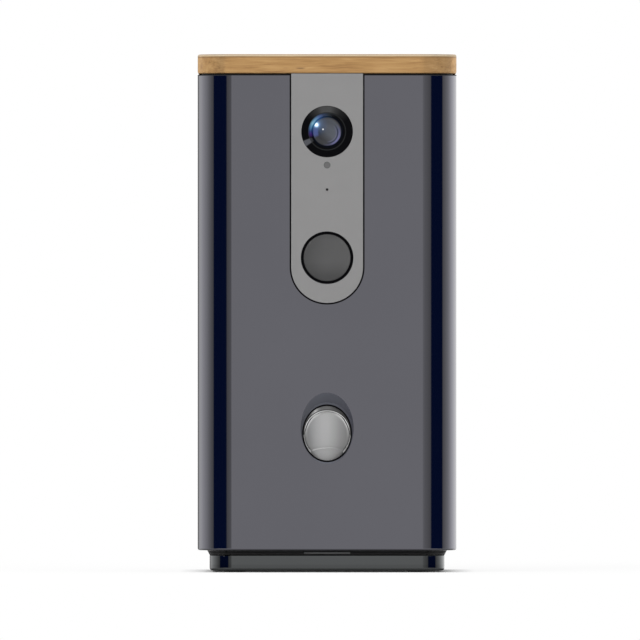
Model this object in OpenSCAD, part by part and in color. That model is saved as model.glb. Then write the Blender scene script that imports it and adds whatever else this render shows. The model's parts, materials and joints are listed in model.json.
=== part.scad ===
// Treat tossing pet camera: a square tower with a lift-off bamboo lid, a camera plate let into the
// front, a round call button, and a sprung flap over a treat chute that a small catapult throws through.
// Front faces -Y, +Z is up, the origin is on the surface under the middle of the base.

/* [Body] */
// Width of the body across the front
body_w = 130; // [118:1:160]
// Depth of the body, front to back
body_d = 130; // [122:1:160]
// Height of the whole product
total_h = 260; // [252:1:320]
// Radius of the upright corners
corner_r = 17; // [10:1:24]
// Wall of the body shell
wall = 3; // [2.6:0.2:3.6]
// Edge rounding at the foot of the shell
shell_edge = 1; // [0.4:0.2:2]

/* [Lid] */
// Thickness of the bamboo board
lid_t = 9.6; // [7:0.2:14]
// Rounding along the board's edges
lid_edge = 0.9; // [0.4:0.1:2]
// Shadow gap between board and shell
lid_gap = 0.6; // [0.4:0.1:1.2]
// Depth of the plug that drops into the bin
plug_h = 6.4; // [6:0.2:9]

/* [Base] */
// How far the plinth stands in from the body
base_inset = 6; // [4:0.5:7]
// Corner radius of the plinth
base_r = 11; // [8:0.5:14]
// Height of the plinth under its shadow groove
plinth_h = 7.8; // [7:0.2:12]
// Height of the shadow groove
groove_h = 2.4; // [1.6:0.2:4]
// How far the rubber feet stand out
foot_out = 0.8; // [0.6:0.1:1.4]
// Radius of a rubber foot
foot_r = 6; // [4:0.5:7]
// Length of the status light in the groove
light_w = 23.2; // [16:0.4:40]

/* [Camera plate] */
// Width of the inlaid plate
plate_w = 36; // [34:0.2:42]
// Thickness of the inlaid plate
plate_t = 1.5; // [1.2:0.1:1.5]
// Height of the centre of the plate's round end
plate_end_z = 153.2; // [146:0.2:158]
// Height of the lens axis
lens_z = 221.2; // [216:0.2:224]
// Radius of the black lens bezel
bezel_r = 12.9; // [11.5:0.1:14]
// Radius of the clear lens window
window_r = 8.6; // [7.5:0.1:9]
// Height of the light sensor
sensor_z = 204.4; // [200:0.2:207]
// Radius of the light sensor window
sensor_r = 1.6; // [1:0.1:2.2]
// Height of the microphone hole
mic_z = 192.1; // [184:0.2:196]
// Radius of the microphone hole
mic_r = 0.65; // [0.4:0.05:1]
// Height of the call button
button_z = 157.9; // [156:0.2:162]
// Radius of the call button
button_r = 11.8; // [9:0.1:12.4]
// Travel of the call button
button_travel = 1; // [0.4:0.1:1]

/* [Treat outlet] */
// Angle at which treats leave, above level
throw_angle = 42; // [40:1:44]
// Height where the throw line leaves the front face
outlet_z = 72.3; // [71:0.1:76]
// Radius of the chute's bore
chute_r = 12; // [11.6:0.1:12.2]
// Wall of the chute
chute_wall = 1.6; // [1.2:0.1:1.8]
// Radius of the scoop in the shell
scoop_r = 13.3; // [13.2:0.1:13.8]
// Lean of the outlet ring, back from upright
rim_lean = 10; // [8:0.5:12]
// Thickness of the flap
flap_t = 1.6; // [1.4:0.1:1.8]

/* [Launcher] */
// Distance from the arm's shaft to the middle of its spoon
arm_len = 24; // [23:0.5:25]
// Distance down the throw line to the spoon at rest
throw_len = 42; // [41:0.5:43]
// Radius of the spoon
spoon_r = 10.4; // [9:0.2:10.6]
// Radius of the arm's shaft
arm_shaft_r = 2; // [1.5:0.1:2.5]
// Teeth of the full circle that the arm's sector is cut from
sector_teeth = 35; // [35:1:36]
// Teeth of the full circle of the launch gear
launch_teeth = 14; // [14:1:15]
// Tooth size of the launch pair
launch_mod = 1; // [1:0.05:1.05]

/* [Dosing] */
// Radius of the dosing rotor
rotor_r = 32.5; // [31:0.5:33]
// Depth of the rotor's pockets
rotor_h = 14; // [12:0.5:16]
// Pockets in the rotor
pockets = 5; // [3:1:5]
// Radius of one pocket
pocket_r = 9.5; // [7:0.5:9.5]
// Height of the deck that the rotor turns on
deck_z = 110; // [108:1:114]
// Thickness of the deck
deck_t = 3; // [2:0.5:4]
// Teeth of the rotor's gear ring
ring_teeth = 48; // [48:1:50]
// Teeth of the dosing pinion
pinion_teeth = 12; // [12:1:13]
// Slope of the bin's funnel
funnel_angle = 37; // [30:1:42]
// Wall of the treat bin
bin_wall = 1.8; // [1.2:0.2:2.4]

/* [Back] */
// Radius of the speaker
speaker_r = 20; // [16:0.5:21]
// Height of the speaker's centre
speaker_z = 84; // [80:1:84]
// Width of a speaker slot
slot_w = 2; // [1.4:0.1:2.6]
// Radius of the power inlet's bore
inlet_r = 2.75; // [2:0.05:3.2]
// Height of the power inlet and reset button
inlet_z = 24.5; // [24:0.5:27]
// Travel of the reset button
reset_travel = 0.8; // [0.4:0.1:1]

/* [Fits] */
// Gap round inlaid parts
inlay_gap = 0.35; // [0.2:0.05:0.5]
// Radial clearance of shafts and pins in their bores
pin_clear = 0.05; // [0.03:0.01:0.1]
// Gap where one part locates in another
seat_gap = 0.2; // [0.1:0.05:0.4]
// Backlash between gear teeth
backlash = 0.14; // [0.1:0.02:0.24]

/* [Hidden] */
$fn = 64;

// Levels from the surface up
plinth_top = foot_out + plinth_h;
shell_z = plinth_top + groove_h;
lid_z = total_h - lid_t;
shell_top = lid_z - lid_gap;
// Places of the walls
front_y = -body_d / 2;
inner_w = body_w - 2 * wall;
inner_d = body_d - 2 * wall;
inner_r = corner_r - wall;
inner_front = front_y + wall;
inner_back = -inner_front;
// Base
base_w = body_w - 2 * base_inset;
base_d = body_d - 2 * base_inset;
base_wall = 2.4;
neck_inset = 3;
neck_w = base_w - 2 * neck_inset;
neck_d = base_d - 2 * neck_inset;
neck_r = base_r - neck_inset;
neck_open_w = body_w - 34;
neck_open_d = body_d - 34;
plate_under_t = 2;
floor_t = 2.5;
chassis_z = shell_z + floor_t;
chassis_t = 2;
chassis_top = chassis_z + chassis_t;
screw_x = base_w / 2 - 6;
screw_y = 30;
boss_r = 4;
boss_h = 12.5;
screw_r = 1.4;
screw_hole_r = screw_r + 0.1;
head_r = 2.8;
head_h = 1.8;
foot_inset = 13;
foot_sink = 0.8;
light_h = 0.8;
light_z = plinth_top + groove_h / 2 - light_h / 2 - 0.2;
// Camera plate and board
board_y = front_y + 11.4;
pcb_t = 1.6;
board_w = 30;
board_low = 134;
board_high = lens_z + 15;
board_hole_x = 12;
board_hole_inset = 4;
button_ring_r = button_r + 1.35;
// Outlet: a frame whose Z axis runs down the throw line, starting on the front face
rim_low_z = outlet_z - scoop_r / cos(throw_angle);
ring_r = chute_r - 0.25;
ring_out = chute_r + 0.45;
flap_pin_y = inner_front + 3;
flap_y = flap_pin_y + 0.55;
flap_pin_z = rim_low_z - 0.4;
flap_pin_r = 1;
barrel_r = 1.8;
barrel_half = 6.3;
flap_face_r = 11.1;
flap_face_z = outlet_z - 3.2;
flap_tab_half = 7.2;
flap_tab_wide = 7.9;
flap_tab_h = 7.5;
flap_crown_r = 80;
chin_r = 20.4;
chin_top = 8.6;
chin_step = 0.3;
flap_seam = 0.3;
lip_seam = 0.6;
cheek_t = 1.2;
lip_t = 1;
ring_len = 24;
socket_at = 17.5;
chute_end = throw_len - 6;
ear_r = 2.6;
// Launcher
throw_y = front_y + throw_len * cos(throw_angle);
throw_z = outlet_z - throw_len * sin(throw_angle);
arm_y = throw_y - arm_len * sin(throw_angle);
arm_z = throw_z - arm_len * cos(throw_angle);
arm_rest = 90 - throw_angle;
drop_y = arm_y + arm_len;
side_in = 12.6;
side_t = 2;
frame_back = drop_y + 13.4;
frame_front = arm_y - 6;
frame_top = arm_z + 29;
gear_x = side_in + side_t + 1.2;
gear_t = 5;
launch_centre = (sector_teeth + launch_teeth) * launch_mod / 2;
launch_dir = 60;
launch_y = arm_y + launch_centre * cos(launch_dir);
launch_gz = arm_z + launch_centre * sin(launch_dir);
launch_kept = 7;
sector_kept = 9;
sector_before = 2;
motor_x = gear_x + gear_t + 1;
motor_w = 12;
motor_d = 10;
motor_len = 25;
motor_shaft_r = 1.5;
bracket_foot_x = motor_x + 6.6;
spring_x = -(side_in + side_t + 1.4);
spring_len = 9;
// Dosing
drop_r = pocket_r;
tube_r = drop_r + 1.6;
pocket_at = rotor_r - pocket_r - 2;
rotor_y = drop_y + pocket_at;
rotor_z = deck_z + 0.3;
ring_t = 5;
ring_z = rotor_z + 0.5;
ring_out_r = rotor_r + 3.5;
ring_mod = 2 * ring_out_r / ring_teeth;
pinion_y = rotor_y + (ring_teeth + pinion_teeth) * ring_mod / 2;
tube_low = arm_z + 28.6;
// Bin
bin_front = front_y + 19;
bin_back = inner_back - 4;
bin_d = bin_back - bin_front;
bin_y = (bin_front + bin_back) / 2;
bin_w = body_w - 18;
bin_r = 10;
bin_top = shell_top - 3.8;
rim_t = 2;
throat_z = rotor_z + rotor_h + 1;
throat_r = rotor_r + 0.4;
collar_r = ring_out_r + ring_mod + 0.9;
funnel_top_r = norm([bin_w / 2, bin_back - rotor_y]) + 2;
funnel_h = (funnel_top_r - throat_r) * tan(funnel_angle);
ledge_t = 2.5;
// Side frames and boards
frame_x = body_w / 2 - 15;
frame_t = 2.4;
frame_y0 = -36;
frame_y1 = 44;
frame_z1 = deck_z - deck_t;
post_r = 3;
deck_screw_y = 24;
mb_x = -frame_x + frame_t / 2 + 3.6;
mb_low = 26;
mb_high = 98;
mb_y0 = -34;
mb_y1 = 38;
inlet_x = 28;
reset_x = 12;
reset_r = 2;
io_y = inner_back - 12;
io_high = inlet_z + 11;

// Sizes of the pieces behind the camera plate
bezel_step = 1.9;
bezel_depth = 8;
window_y = 1.5;
window_t = 1;
dome_r = 7;
post_hole_r = 1.05;
small_r = 1;
ring_back = 5.4;
stem_r = 3;
stem_end = 6.9;
ear_end = 10.4;
// Back and base
slot_side = 4;
slot_pitch = 1.8;
inlet_nose_r = 4;
inlet_depth = 10;
plinth_edge = 1.5;
neck_fillet = 2;
neck_open_r = 8;
light_board_y = -neck_open_d / 2 + 2.5;
screw_seat = foot_out + 2.2;
deck_back = pinion_y + 7.85;
collar_out = collar_r + bin_wall;
pinion_tip = (pinion_teeth / 2 + 0.8) * ring_mod;
spindle_r = 3;
// Lid
flange_inset = 2;
gasket_h = 2.4;
gasket_z = shell_top - plug_h + 1.4;

// ---- shapes used by several pieces ----

// Upright edge section: a straight side of height h at radius r, rounded below and above
module edge_section(r, h, low, high) {
    difference() {
        square([r, h]);
        if (high > 0) translate([r - high, h - high]) difference() {
            square(high + 1);
            circle(high);
        }
        if (low > 0) translate([r - low, low]) rotate(-90) difference() {
            square(low + 1);
            circle(low);
        }
    }
}

// Concave foot section: flares out to radius r at the bottom over a height f
module flare_section(r, f) {
    difference() {
        square([r, f]);
        translate([r, f]) circle(f);
    }
}

// Carries an edge section round a rectangle with round corners, and fills the middle
module swept_block(w, d, h, r) {
    for (x = [-1, 1], y = [-1, 1]) translate([x * (w / 2 - r), y * (d / 2 - r), 0])
        rotate_extrude() children();
    for (a = [0, 180]) rotate(a) translate([w / 2 - r, d / 2 - r, 0]) rotate([90, 0, 0])
        linear_extrude(d - 2 * r) children();
    for (a = [90, 270]) rotate(a) translate([d / 2 - r, w / 2 - r, 0]) rotate([90, 0, 0])
        linear_extrude(w - 2 * r) children();
    translate([r - w / 2, r - d / 2, 0]) cube([w - 2 * r, d - 2 * r, h]);
}

// Block with round upright corners and rounded rims
module block(w, d, h, r, low = 0, high = 0) {
    swept_block(w, d, h, r) edge_section(r, h, low, high);
}

// Plain plate with round corners
module plate(w, d, h, r) {
    linear_extrude(h) union() {
        square([w - 2 * r, d], center = true);
        square([w, d - 2 * r], center = true);
        for (x = [-1, 1], y = [-1, 1]) translate([x * (w / 2 - r), y * (d / 2 - r)]) circle(r);
    }
}

// Cylinder lying along Y from y0 to y1
module along_y(r, y0, y1, x, z) {
    translate([x, y0, z]) rotate([-90, 0, 0]) cylinder(r = r, h = y1 - y0);
}

// Cylinder lying along X from x0 to x1
module along_x(r, x0, x1, y, z) {
    translate([x0, y, z]) rotate([0, 90, 0]) cylinder(r = r, h = x1 - x0);
}

// Box between two corners
module span(a, b) {
    translate(a) cube(b - a);
}

// Box between two corners, and its mirror image across the middle
module both_sides(a, b) {
    span(a, b);
    mirror([1, 0, 0]) span(a, b);
}

// Round bar on the throw line, between two distances down it from the front face
module throw_bore(r, from, to) {
    translate([0, front_y, outlet_z]) rotate([-90 - throw_angle, 0, 0]) translate([0, 0, from])
        cylinder(r = r, h = to - from);
}

// Everything in front of the leaning plane that the outlet ends on, moved back by a depth
module before_rim(depth = 0) {
    translate([-40, front_y + depth, rim_low_z]) rotate([-rim_lean, 0, 0]) translate([0, -60, -60])
        cube([80, 60, 160]);
}

// Turned ring about a line along Y at height z, drawn as radius and depth behind the front face
module turned(z) {
    translate([0, front_y, z]) rotate([-90, 0, 0]) rotate_extrude() children();
}

// Takes a rounding off a turned piece's front rim
module front_rounding(r, at, round) {
    translate([r - round, at + round]) rotate(-90) difference() {
        square(round + 0.5);
        circle(round);
    }
}

// Puts pieces drawn in a flat plane onto the YZ plane, facing +X
module facing_x(x, y, z) {
    translate([x, y, z]) rotate([90, 0, 90]) children();
}

// Outline of the camera plate
module plate_outline(r, top) {
    translate([0, plate_end_z]) circle(r);
    translate([-r, plate_end_z]) square([2 * r, top - plate_end_z]);
}

// Places of the base screws, feet, camera board screws, main board screws and deck screws
module at_screws() {
    for (x = [-1, 1], y = [-1, 1]) translate([x * screw_x, y * screw_y, 0]) children();
}
module at_feet() {
    for (x = [-1, 1], y = [-1, 1])
        translate([x * (base_w / 2 - foot_inset), y * (base_d / 2 - foot_inset), 0]) children();
}
module at_camera_posts() {
    for (x = [-1, 1], z = [board_low + board_hole_inset, board_high - board_hole_inset])
        translate([x * board_hole_x, board_y, z]) children();
}
module at_main_posts() {
    for (y = [mb_y0 + 4, mb_y1 - 4], z = [mb_low + 4, mb_high - 4]) translate([mb_x, y, z]) children();
}
module at_frame_screws() {
    for (x = [-1, 1], y = [-1, 1]) translate([x * (frame_x - 3), y * deck_screw_y, 0]) children();
}
module at_lid_screws() {
    for (x = [-1, 1], y = [-1, 1]) translate([x * 38, bin_y + y * 34, 0]) children();
}

// Cross-head screw pointing up, its head's seat at z = 0
module screw(len, r = screw_r, hr = head_r) {
    difference() {
        union() {
            cylinder(r = r, h = len - r);
            translate([0, 0, len - r]) cylinder(r1 = r, r2 = 0.4, h = r);
            mirror([0, 0, 1]) rotate_extrude() edge_section(hr, head_h, 0, 0.7);
        }
        for (a = [0, 90]) rotate(a) translate([-0.5 * hr, -0.3, -head_h - 1]) cube([hr, 0.6, 1.9]);
    }
}

// ---- involute teeth ----

// Involute function of an angle in degrees, given in degrees
function inv_deg(a) = tan(a) * 180 / PI - a;
// Half angle of a tooth at a radius
function flank(n, m, rho) = 90 / n - backlash / (n * m) * 90 / PI + inv_deg(20)
    - inv_deg(acos(min(1, n * m / 2 * cos(20) / rho)));
// Point at radius rho on a flank whose half angle is taken at radius at; side is -1 or 1
function flank_point(n, m, rho, at, c, side) = rho * [cos(c + side * flank(n, m, at)),
    sin(c + side * flank(n, m, at))];
// Outline of tooth k, from root to tip and back
function tooth(n, m, k) = let (
    root = n * m / 2 - 1.15 * m,
    tip = n * m / 2 + 0.8 * m,
    low = max(n * m / 2 * cos(20), root),
    c = 360 / n * k,
    rhos = [for (i = [0:3]) low + (tip - low) * i / 3])
    concat([flank_point(n, m, root, low, c, -1)],
        [for (p = rhos) flank_point(n, m, p, p, c, -1)],
        [for (i = [3:-1:0]) flank_point(n, m, rhos[i], rhos[i], c, 1)],
        [flank_point(n, m, root, low, c, 1)]);
// Outline of a whole gear
function gear_points(n, m) = [for (k = [0:n - 1]) each tooth(n, m, k)];
// Outline of kept teeth, counted from angle 0, closed through the centre
function part_gear_points(n, m, kept) = concat([[0, 0]], [for (k = [0:kept - 1]) each tooth(n, m, k)]);

// ---- wire ----

// Round wire through a list of points, as one closed skin
module wire(points, r, sides = 6) {
    n = len(points);
    dirs = [for (i = [0:n - 1]) let (d = points[min(i + 1, n - 1)] - points[max(i - 1, 0)]) d / norm(d)];
    rings = [for (i = [0:n - 1]) let (
        u0 = cross(dirs[i], [1, 0.03, 0.02]), u = u0 / norm(u0), v = cross(dirs[i], u))
        for (k = [0:sides - 1]) points[i] + r * (cos(360 * k / sides) * u + sin(360 * k / sides) * v)];
    skin = [for (i = [0:n - 2], k = [0:sides - 1]) let (
        a = i * sides + k, b = i * sides + (k + 1) % sides)
        each [[a, a + sides, b], [b, a + sides, b + sides]]];
    polyhedron(rings, concat(skin, [[for (k = [0:sides - 1]) k]],
        [[for (k = [sides - 1:-1:0]) (n - 1) * sides + k]]));
}

// Points of a coil round the X axis from angle a0 to a1, with a straight leg at each end
function coil(r, len, turns, a0, a1, leg0, leg1) = let (
    steps = ceil(turns * 12),
    total = 360 * turns + a1 - a0,
    p = [for (i = [0:steps]) let (a = a0 + total * i / steps) [len * i / steps, r * cos(a), r * sin(a)]])
    concat([p[0] + leg0 * [0, sin(a0), -cos(a0)]], p, [p[steps] + leg1 * [0, -sin(a1), cos(a1)]]);

// ---- body ----

module outer_shell() {
    color([0.39, 0.385, 0.41]) difference() {
        union() {
            difference() {
                translate([0, 0, shell_z])
                    block(body_w, body_d, shell_top - shell_z, corner_r, shell_edge, 0);
                translate([0, 0, chassis_z]) plate(inner_w, inner_d, total_h, inner_r);
                translate([0, 0, shell_z - 1]) plate(neck_open_w, neck_open_d, floor_t + 2, neck_open_r);
            }
            // ledge that the bin's rim sits on
            translate([0, 0, bin_top - rim_t - ledge_t]) difference() {
                plate(inner_w + 1, inner_d + 1, ledge_t, inner_r + 0.5);
                translate([0, 0, -1]) plate(inner_w - 4, inner_d - 4, ledge_t + 2, inner_r - 2);
            }
            at_camera_posts() along_y(post_r, inner_front - board_y - 0.5, 0, 0, 0);
            // thick land behind the upper half of the scoop
            intersection() {
                throw_bore(scoop_r + 2.2, -20, 24);
                span([-30, inner_front - 1, outlet_z - 8], [30, front_y + 8.6, outlet_z + 40]);
            }
            // ring that locates the speaker
            difference() {
                along_y(speaker_r + 2.2, inner_back - 4, inner_back + 1, 0, speaker_z);
                along_y(speaker_r + seat_gap, inner_back - 5, inner_back + 2, 0, speaker_z);
            }
        }
        // recess for the camera plate, and the holes behind it
        translate([0, front_y + plate_t, 0]) rotate([90, 0, 0]) linear_extrude(plate_t + 1)
            plate_outline(plate_w / 2 + inlay_gap, total_h);
        along_y(bezel_r - bezel_step + seat_gap, front_y - 1, inner_front + 1, 0, lens_z);
        along_y(sensor_r + seat_gap, front_y - 1, inner_front + 1, 0, sensor_z);
        along_y(mic_r + 0.5, front_y - 1, inner_front + 1, 0, mic_z);
        along_y(button_ring_r + seat_gap, front_y - 1, inner_front + 1, 0, button_z);
        at_camera_posts() along_y(post_hole_r, -6, 1, 0, 0);
        // scoop down to the leaning rim, and the hole for the outlet ring behind it
        intersection() {
            throw_bore(scoop_r, -30, 30);
            before_rim();
        }
        throw_bore(ring_out + seat_gap / 2, -30, 30);
        // speaker slots
        for (i = [-slot_side:slot_side]) let (x = i * slot_w * slot_pitch,
            h = sqrt(pow(speaker_r - 4, 2) - x * x))
            span([x - slot_w / 2, inner_back - 1, speaker_z - h], [x + slot_w / 2, -front_y + 1, speaker_z + h]);
        // power inlet, reset button and base screws
        along_y(inlet_nose_r + seat_gap / 2, inner_back - 1, -front_y + 1, inlet_x, inlet_z);
        along_y(reset_r + seat_gap / 2, inner_back - 1, -front_y + 1, reset_x, inlet_z);
        translate([0, 0, shell_z - 1]) at_screws() cylinder(r = screw_r + 0.3, h = floor_t + 2);
    }
}

// ---- camera plate and what sits in it ----

module camera_plate() {
    color([0.56, 0.555, 0.555]) difference() {
        translate([0, front_y + plate_t, 0]) rotate([90, 0, 0]) linear_extrude(plate_t)
            plate_outline(plate_w / 2, lid_z - 0.1);
        along_y(bezel_r + 0.05, front_y - 1, inner_front, 0, lens_z);
        along_y(sensor_r + 0.1, front_y - 1, inner_front, 0, sensor_z);
        along_y(mic_r, front_y - 1, inner_front, 0, mic_z);
        along_y(button_ring_r + 0.05, front_y - 1, inner_front, 0, button_z);
    }
}

module camera_bezel() {
    color([0.03, 0.03, 0.035]) turned(lens_z) difference() {
        union() {
            square([bezel_r, plate_t]);
            square([bezel_r - bezel_step, bezel_depth]);
        }
        // seat of the lens window, and the cone in front of it
        translate([-1, window_y]) square([window_r + 1, bezel_depth]);
        polygon([[-1, -1], [window_r + 1.6, -1], [window_r + 1.1, 0], [window_r - 0.5, 0.9],
            [window_r - 0.5, window_y + 1], [-1, window_y + 1]]);
        front_rounding(bezel_r, 0, 0.5);
    }
}

module lens_window() {
    color([0.05, 0.05, 0.08, 0.5])
        along_y(window_r - 0.05, front_y + window_y, front_y + window_y + window_t, 0, lens_z);
}

module lens_barrel() {
    color([0.02, 0.02, 0.02]) turned(lens_z) difference() {
        // stepped barrel standing on the board, with the cone down to the front element
        polygon([[0, window_y + window_t + 0.3], [7.4, window_y + window_t + 0.3], [7.4, 6.6], [6.2, 6.6],
            [6.2, 9.2], [8.2, 9.2], [8.2, board_y - front_y], [0, board_y - front_y]]);
        polygon([[-1, 2.9], [6.9, 2.9], [6.5, 3.6], [4.4, 5.2], [4.4, 6.4], [-1, 6.4]]);
    }
}

module lens_element() {
    color([0.1, 0.12, 0.3]) turned(lens_z) intersection() {
        translate([0, 5 + dome_r]) circle(dome_r);
        square([4.3, 6.4]);
    }
}

module camera_board() {
    color([0.05, 0.25, 0.15]) difference() {
        union() {
            span([-board_w / 2, board_y, board_low], [board_w / 2, board_y + pcb_t, board_high]);
            // image processor, memory and cable socket on the back
            span([-7, board_y, 206], [7, board_y + pcb_t + 1.2, 220]);
            span([-5, board_y, 188], [4, board_y + pcb_t + 1, 198]);
            span([-9, board_y, board_low + 8], [-1, board_y + pcb_t + 2, board_low + 12]);
        }
        at_camera_posts() along_y(post_hole_r + 0.1, -1, 3, 0, 0);
    }
}

module board_screws() {
    color("silver") {
        at_camera_posts() translate([0, pcb_t, 0]) rotate([90, 0, 0]) screw(5.5, small_r, 2);
        at_main_posts() translate([pcb_t, 0, 0]) rotate([0, -90, 0]) screw(4.6, small_r, 2);
    }
}

module light_sensor() {
    color([0.3, 0.3, 0.3]) along_y(sensor_r, front_y + 0.1, board_y, 0, sensor_z);
}

module microphone() {
    color([0.02, 0.02, 0.02]) difference() {
        along_y(3.4, inner_front, board_y, 0, mic_z);
        along_y(mic_r, inner_front - 1, inner_front + 4, 0, mic_z);
    }
}

module button_ring() {
    color([0.02, 0.02, 0.02]) turned(button_z) difference() {
        union() {
            translate([0, 0.15]) square([button_ring_r, ring_back]);
            translate([0, wall]) square([button_ring_r + 2, ring_back + 0.15 - wall]);
        }
        translate([-1, -1]) square([button_r + 1.16, 1 + wall + 0.6]);
        translate([-1, -1]) square([stem_r + pin_clear + 1, 12]);
    }
}

module call_button() {
    color([0.35, 0.35, 0.37]) turned(button_z) difference() {
        union() {
            square([button_r, 2]);
            square([stem_r, stem_end]);
            // snap collar behind the ring's web
            translate([0, ring_back + 0.25]) square([stem_r + 0.7, 0.8]);
        }
        front_rounding(button_r, 0, 0.5);
    }
}

module button_switch() {
    color([0.15, 0.15, 0.15]) {
        span([-3.1, board_y - 2, button_z - 3.1], [3.1, board_y, button_z + 3.1]);
        along_y(1.7, front_y + stem_end + button_travel + 0.2, board_y - 1.9, 0, button_z);
    }
}

// ---- treat outlet ----

module outlet_ring() {
    color([0.03, 0.03, 0.03]) difference() {
        union() {
            throw_bore(ring_out, -30, ring_len);
            // ears for the flap's pin
            for (s = [0, 1]) mirror([s, 0, 0]) along_x(ear_r, 6.9, ear_end, flap_pin_y, flap_pin_z);
        }
        before_rim(0.05);
        throw_bore(ring_r, -40, ring_len + 10);
        along_x(flap_pin_r + pin_clear, -20, 20, flap_pin_y, flap_pin_z);
        along_x(barrel_r + 0.5, -barrel_half - 0.5, barrel_half + 0.5, flap_pin_y, flap_pin_z);
    }
    // cheeks that fill the corners beside the flap's foot, and the lip over its top
    color([0.03, 0.03, 0.03]) difference() {
        intersection() {
            throw_bore(ring_out, -30, ring_len);
            union() {
                span([-ring_out, flap_y, flap_pin_z + 1.6], [ring_out, flap_y + cheek_t, flap_face_z]);
                span([-ring_out, flap_y - lip_t - 0.1, flap_face_z + 2], [ring_out, flap_y - 0.1, outlet_z + 20]);
            }
        }
        flap_blank(flap_seam, flap_y - 1, cheek_t + 2);
        along_y(flap_face_r + lip_seam, flap_y - 5, flap_y, 0, flap_face_z);
    }
}

module outlet_flap() {
    color([0.68, 0.68, 0.67]) difference() {
        union() {
            intersection() {
                flap_blank(0, flap_y, flap_t);
                throw_bore(ring_r - 0.3, -30, 30);
                // crowned front: the chin stands a step proud of the face above it
                union() {
                    flap_crown(chin_step);
                    intersection() {
                        flap_crown(0);
                        along_y(chin_r, flap_y - 1, flap_y + flap_t + 1, 0, flap_pin_z + chin_top - chin_r);
                    }
                }
            }
            along_x(barrel_r, -barrel_half, barrel_half, flap_pin_y, flap_pin_z);
        }
        along_x(flap_pin_r + pin_clear, -20, 20, flap_pin_y, flap_pin_z);
        // gap for the spring in the middle of the barrel
        along_x(barrel_r + 0.4, -2.4, 2.4, flap_pin_y, flap_pin_z);
    }
}

// Flap before its crown is cut: a round face on a foot that widens towards it, grown all round
module flap_blank(grow, y, t) {
    translate([0, y + t, 0]) rotate([90, 0, 0]) linear_extrude(t) union() {
        translate([0, flap_face_z]) circle(flap_face_r + grow);
        translate([0, flap_pin_z]) polygon([[-flap_tab_half - grow, 0], [flap_tab_half + grow, 0],
            [flap_tab_wide + grow, flap_tab_h], [0, flap_face_r], [-flap_tab_wide - grow, flap_tab_h]]);
    }
}

// Upright cylinder whose front is the flap's crown, set back by a step
module flap_crown(back) {
    translate([0, flap_y + back + flap_crown_r, flap_pin_z - 2])
        cylinder(r = flap_crown_r, h = 2 * flap_face_r + 20, $fn = 256);
}

module flap_pin() {
    color("silver") along_x(flap_pin_r, -ear_end + 0.2, ear_end - 0.2, flap_pin_y, flap_pin_z);
}

module flap_spring() {
    color("gray") translate([-1.9, flap_pin_y, flap_pin_z])
        wire(coil(flap_pin_r + 0.45, 3.8, 5, 100, 250, 1.1, 1.1), 0.25);
}

module launch_chute() {
    color([0.75, 0.75, 0.73]) difference() {
        union() {
            throw_bore(chute_r + chute_wall + 0.6, socket_at, ring_len + 3);
            throw_bore(chute_r + chute_wall, socket_at, chute_end);
        }
        throw_bore(chute_r, socket_at - 1, chute_end + 10);
        throw_bore(ring_out + seat_gap / 2, socket_at - 1, ring_len + seat_gap);
        // room for the drop tube and for the flap's ears
        translate([0, drop_y, 0]) cylinder(r = tube_r + 0.4, h = 200);
        for (s = [0, 1]) mirror([s, 0, 0]) along_x(ear_r + 0.4, 6, 12, flap_pin_y, flap_pin_z);
        span([-40, front_y - 10, 0], [40, inner_front + 0.4, 200]);
    }
}

// ---- launcher ----

module launch_frame() {
    color([0.8, 0.8, 0.78]) difference() {
        union() {
            both_sides([side_in, frame_front, chassis_top], [side_in + side_t, frame_back, frame_top]);
            // back wall, and a foot flange on each side
            span([-side_in - side_t, frame_back - 2, chassis_top], [side_in + side_t, frame_back, frame_top]);
            span([side_in, frame_back - 18, chassis_top], [side_in + 9, frame_back, chassis_top + 2]);
            span([-side_in - 9, frame_back - 18, chassis_top], [-side_in, frame_back, chassis_top + 2]);
            // shaft bosses
            for (s = [0, 1]) mirror([s, 0, 0])
                along_x(arm_shaft_r + 2, side_in - 1, side_in + side_t + 0.8, arm_y, arm_z);
        }
        along_x(arm_shaft_r + pin_clear, -40, 40, arm_y, arm_z);
        // grooves that the chute nests in
        throw_bore(chute_r + chute_wall + 0.9, 0, ring_len + 3.3);
        throw_bore(chute_r + chute_wall + 0.3, 0, chute_end + 0.3);
        along_x(ear_r + 1.4, -20, 20, flap_pin_y, flap_pin_z);
        // windows in the sides, above the swing of the spoon
        along_x(3, -40, 40, drop_y + 3, arm_z - 4.5);
        // screw holes in the flanges
        for (s = [-1, 1]) translate([s * (side_in + 5.6), frame_back - 9, 0])
            cylinder(r = screw_hole_r, h = 40);
    }
}

module launcher_arm() {
    color([0.85, 0.35, 0.12]) difference() {
        translate([0, arm_y, arm_z]) rotate([arm_rest, 0, 0]) union() {
            // hub, web, two ribs and the dished spoon; the arm points along Y here, face up
            along_x(arm_shaft_r + 2.4, 1.6 - side_in, side_in - 1.6, 0, 0);
            span([-3, 0, -2.2], [3, arm_len - spoon_r + 1, 2.2]);
            both_sides([4.6, 0, -3.8], [6.4, arm_len - 3, -1.2]);
            translate([0, arm_len, -2.2]) rotate_extrude() difference() {
                edge_section(spoon_r, 4.2, 1, 0.5);
                translate([0, 1.6]) edge_section(spoon_r - 1.4, 5, 1, 0);
            }
        }
        along_x(arm_shaft_r + 0.02, -40, 40, arm_y, arm_z);
    }
}

module arm_sector() {
    color([0.9, 0.9, 0.88]) facing_x(gear_x, arm_y, arm_z) difference() {
        linear_extrude(gear_t) union() {
            rotate(launch_dir - sector_before * 360 / sector_teeth)
                polygon(part_gear_points(sector_teeth, launch_mod, sector_kept));
            circle(arm_shaft_r + 2.4);
        }
        translate([0, 0, -1]) cylinder(r = arm_shaft_r + 0.02, h = gear_t + 2);
    }
}

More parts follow.
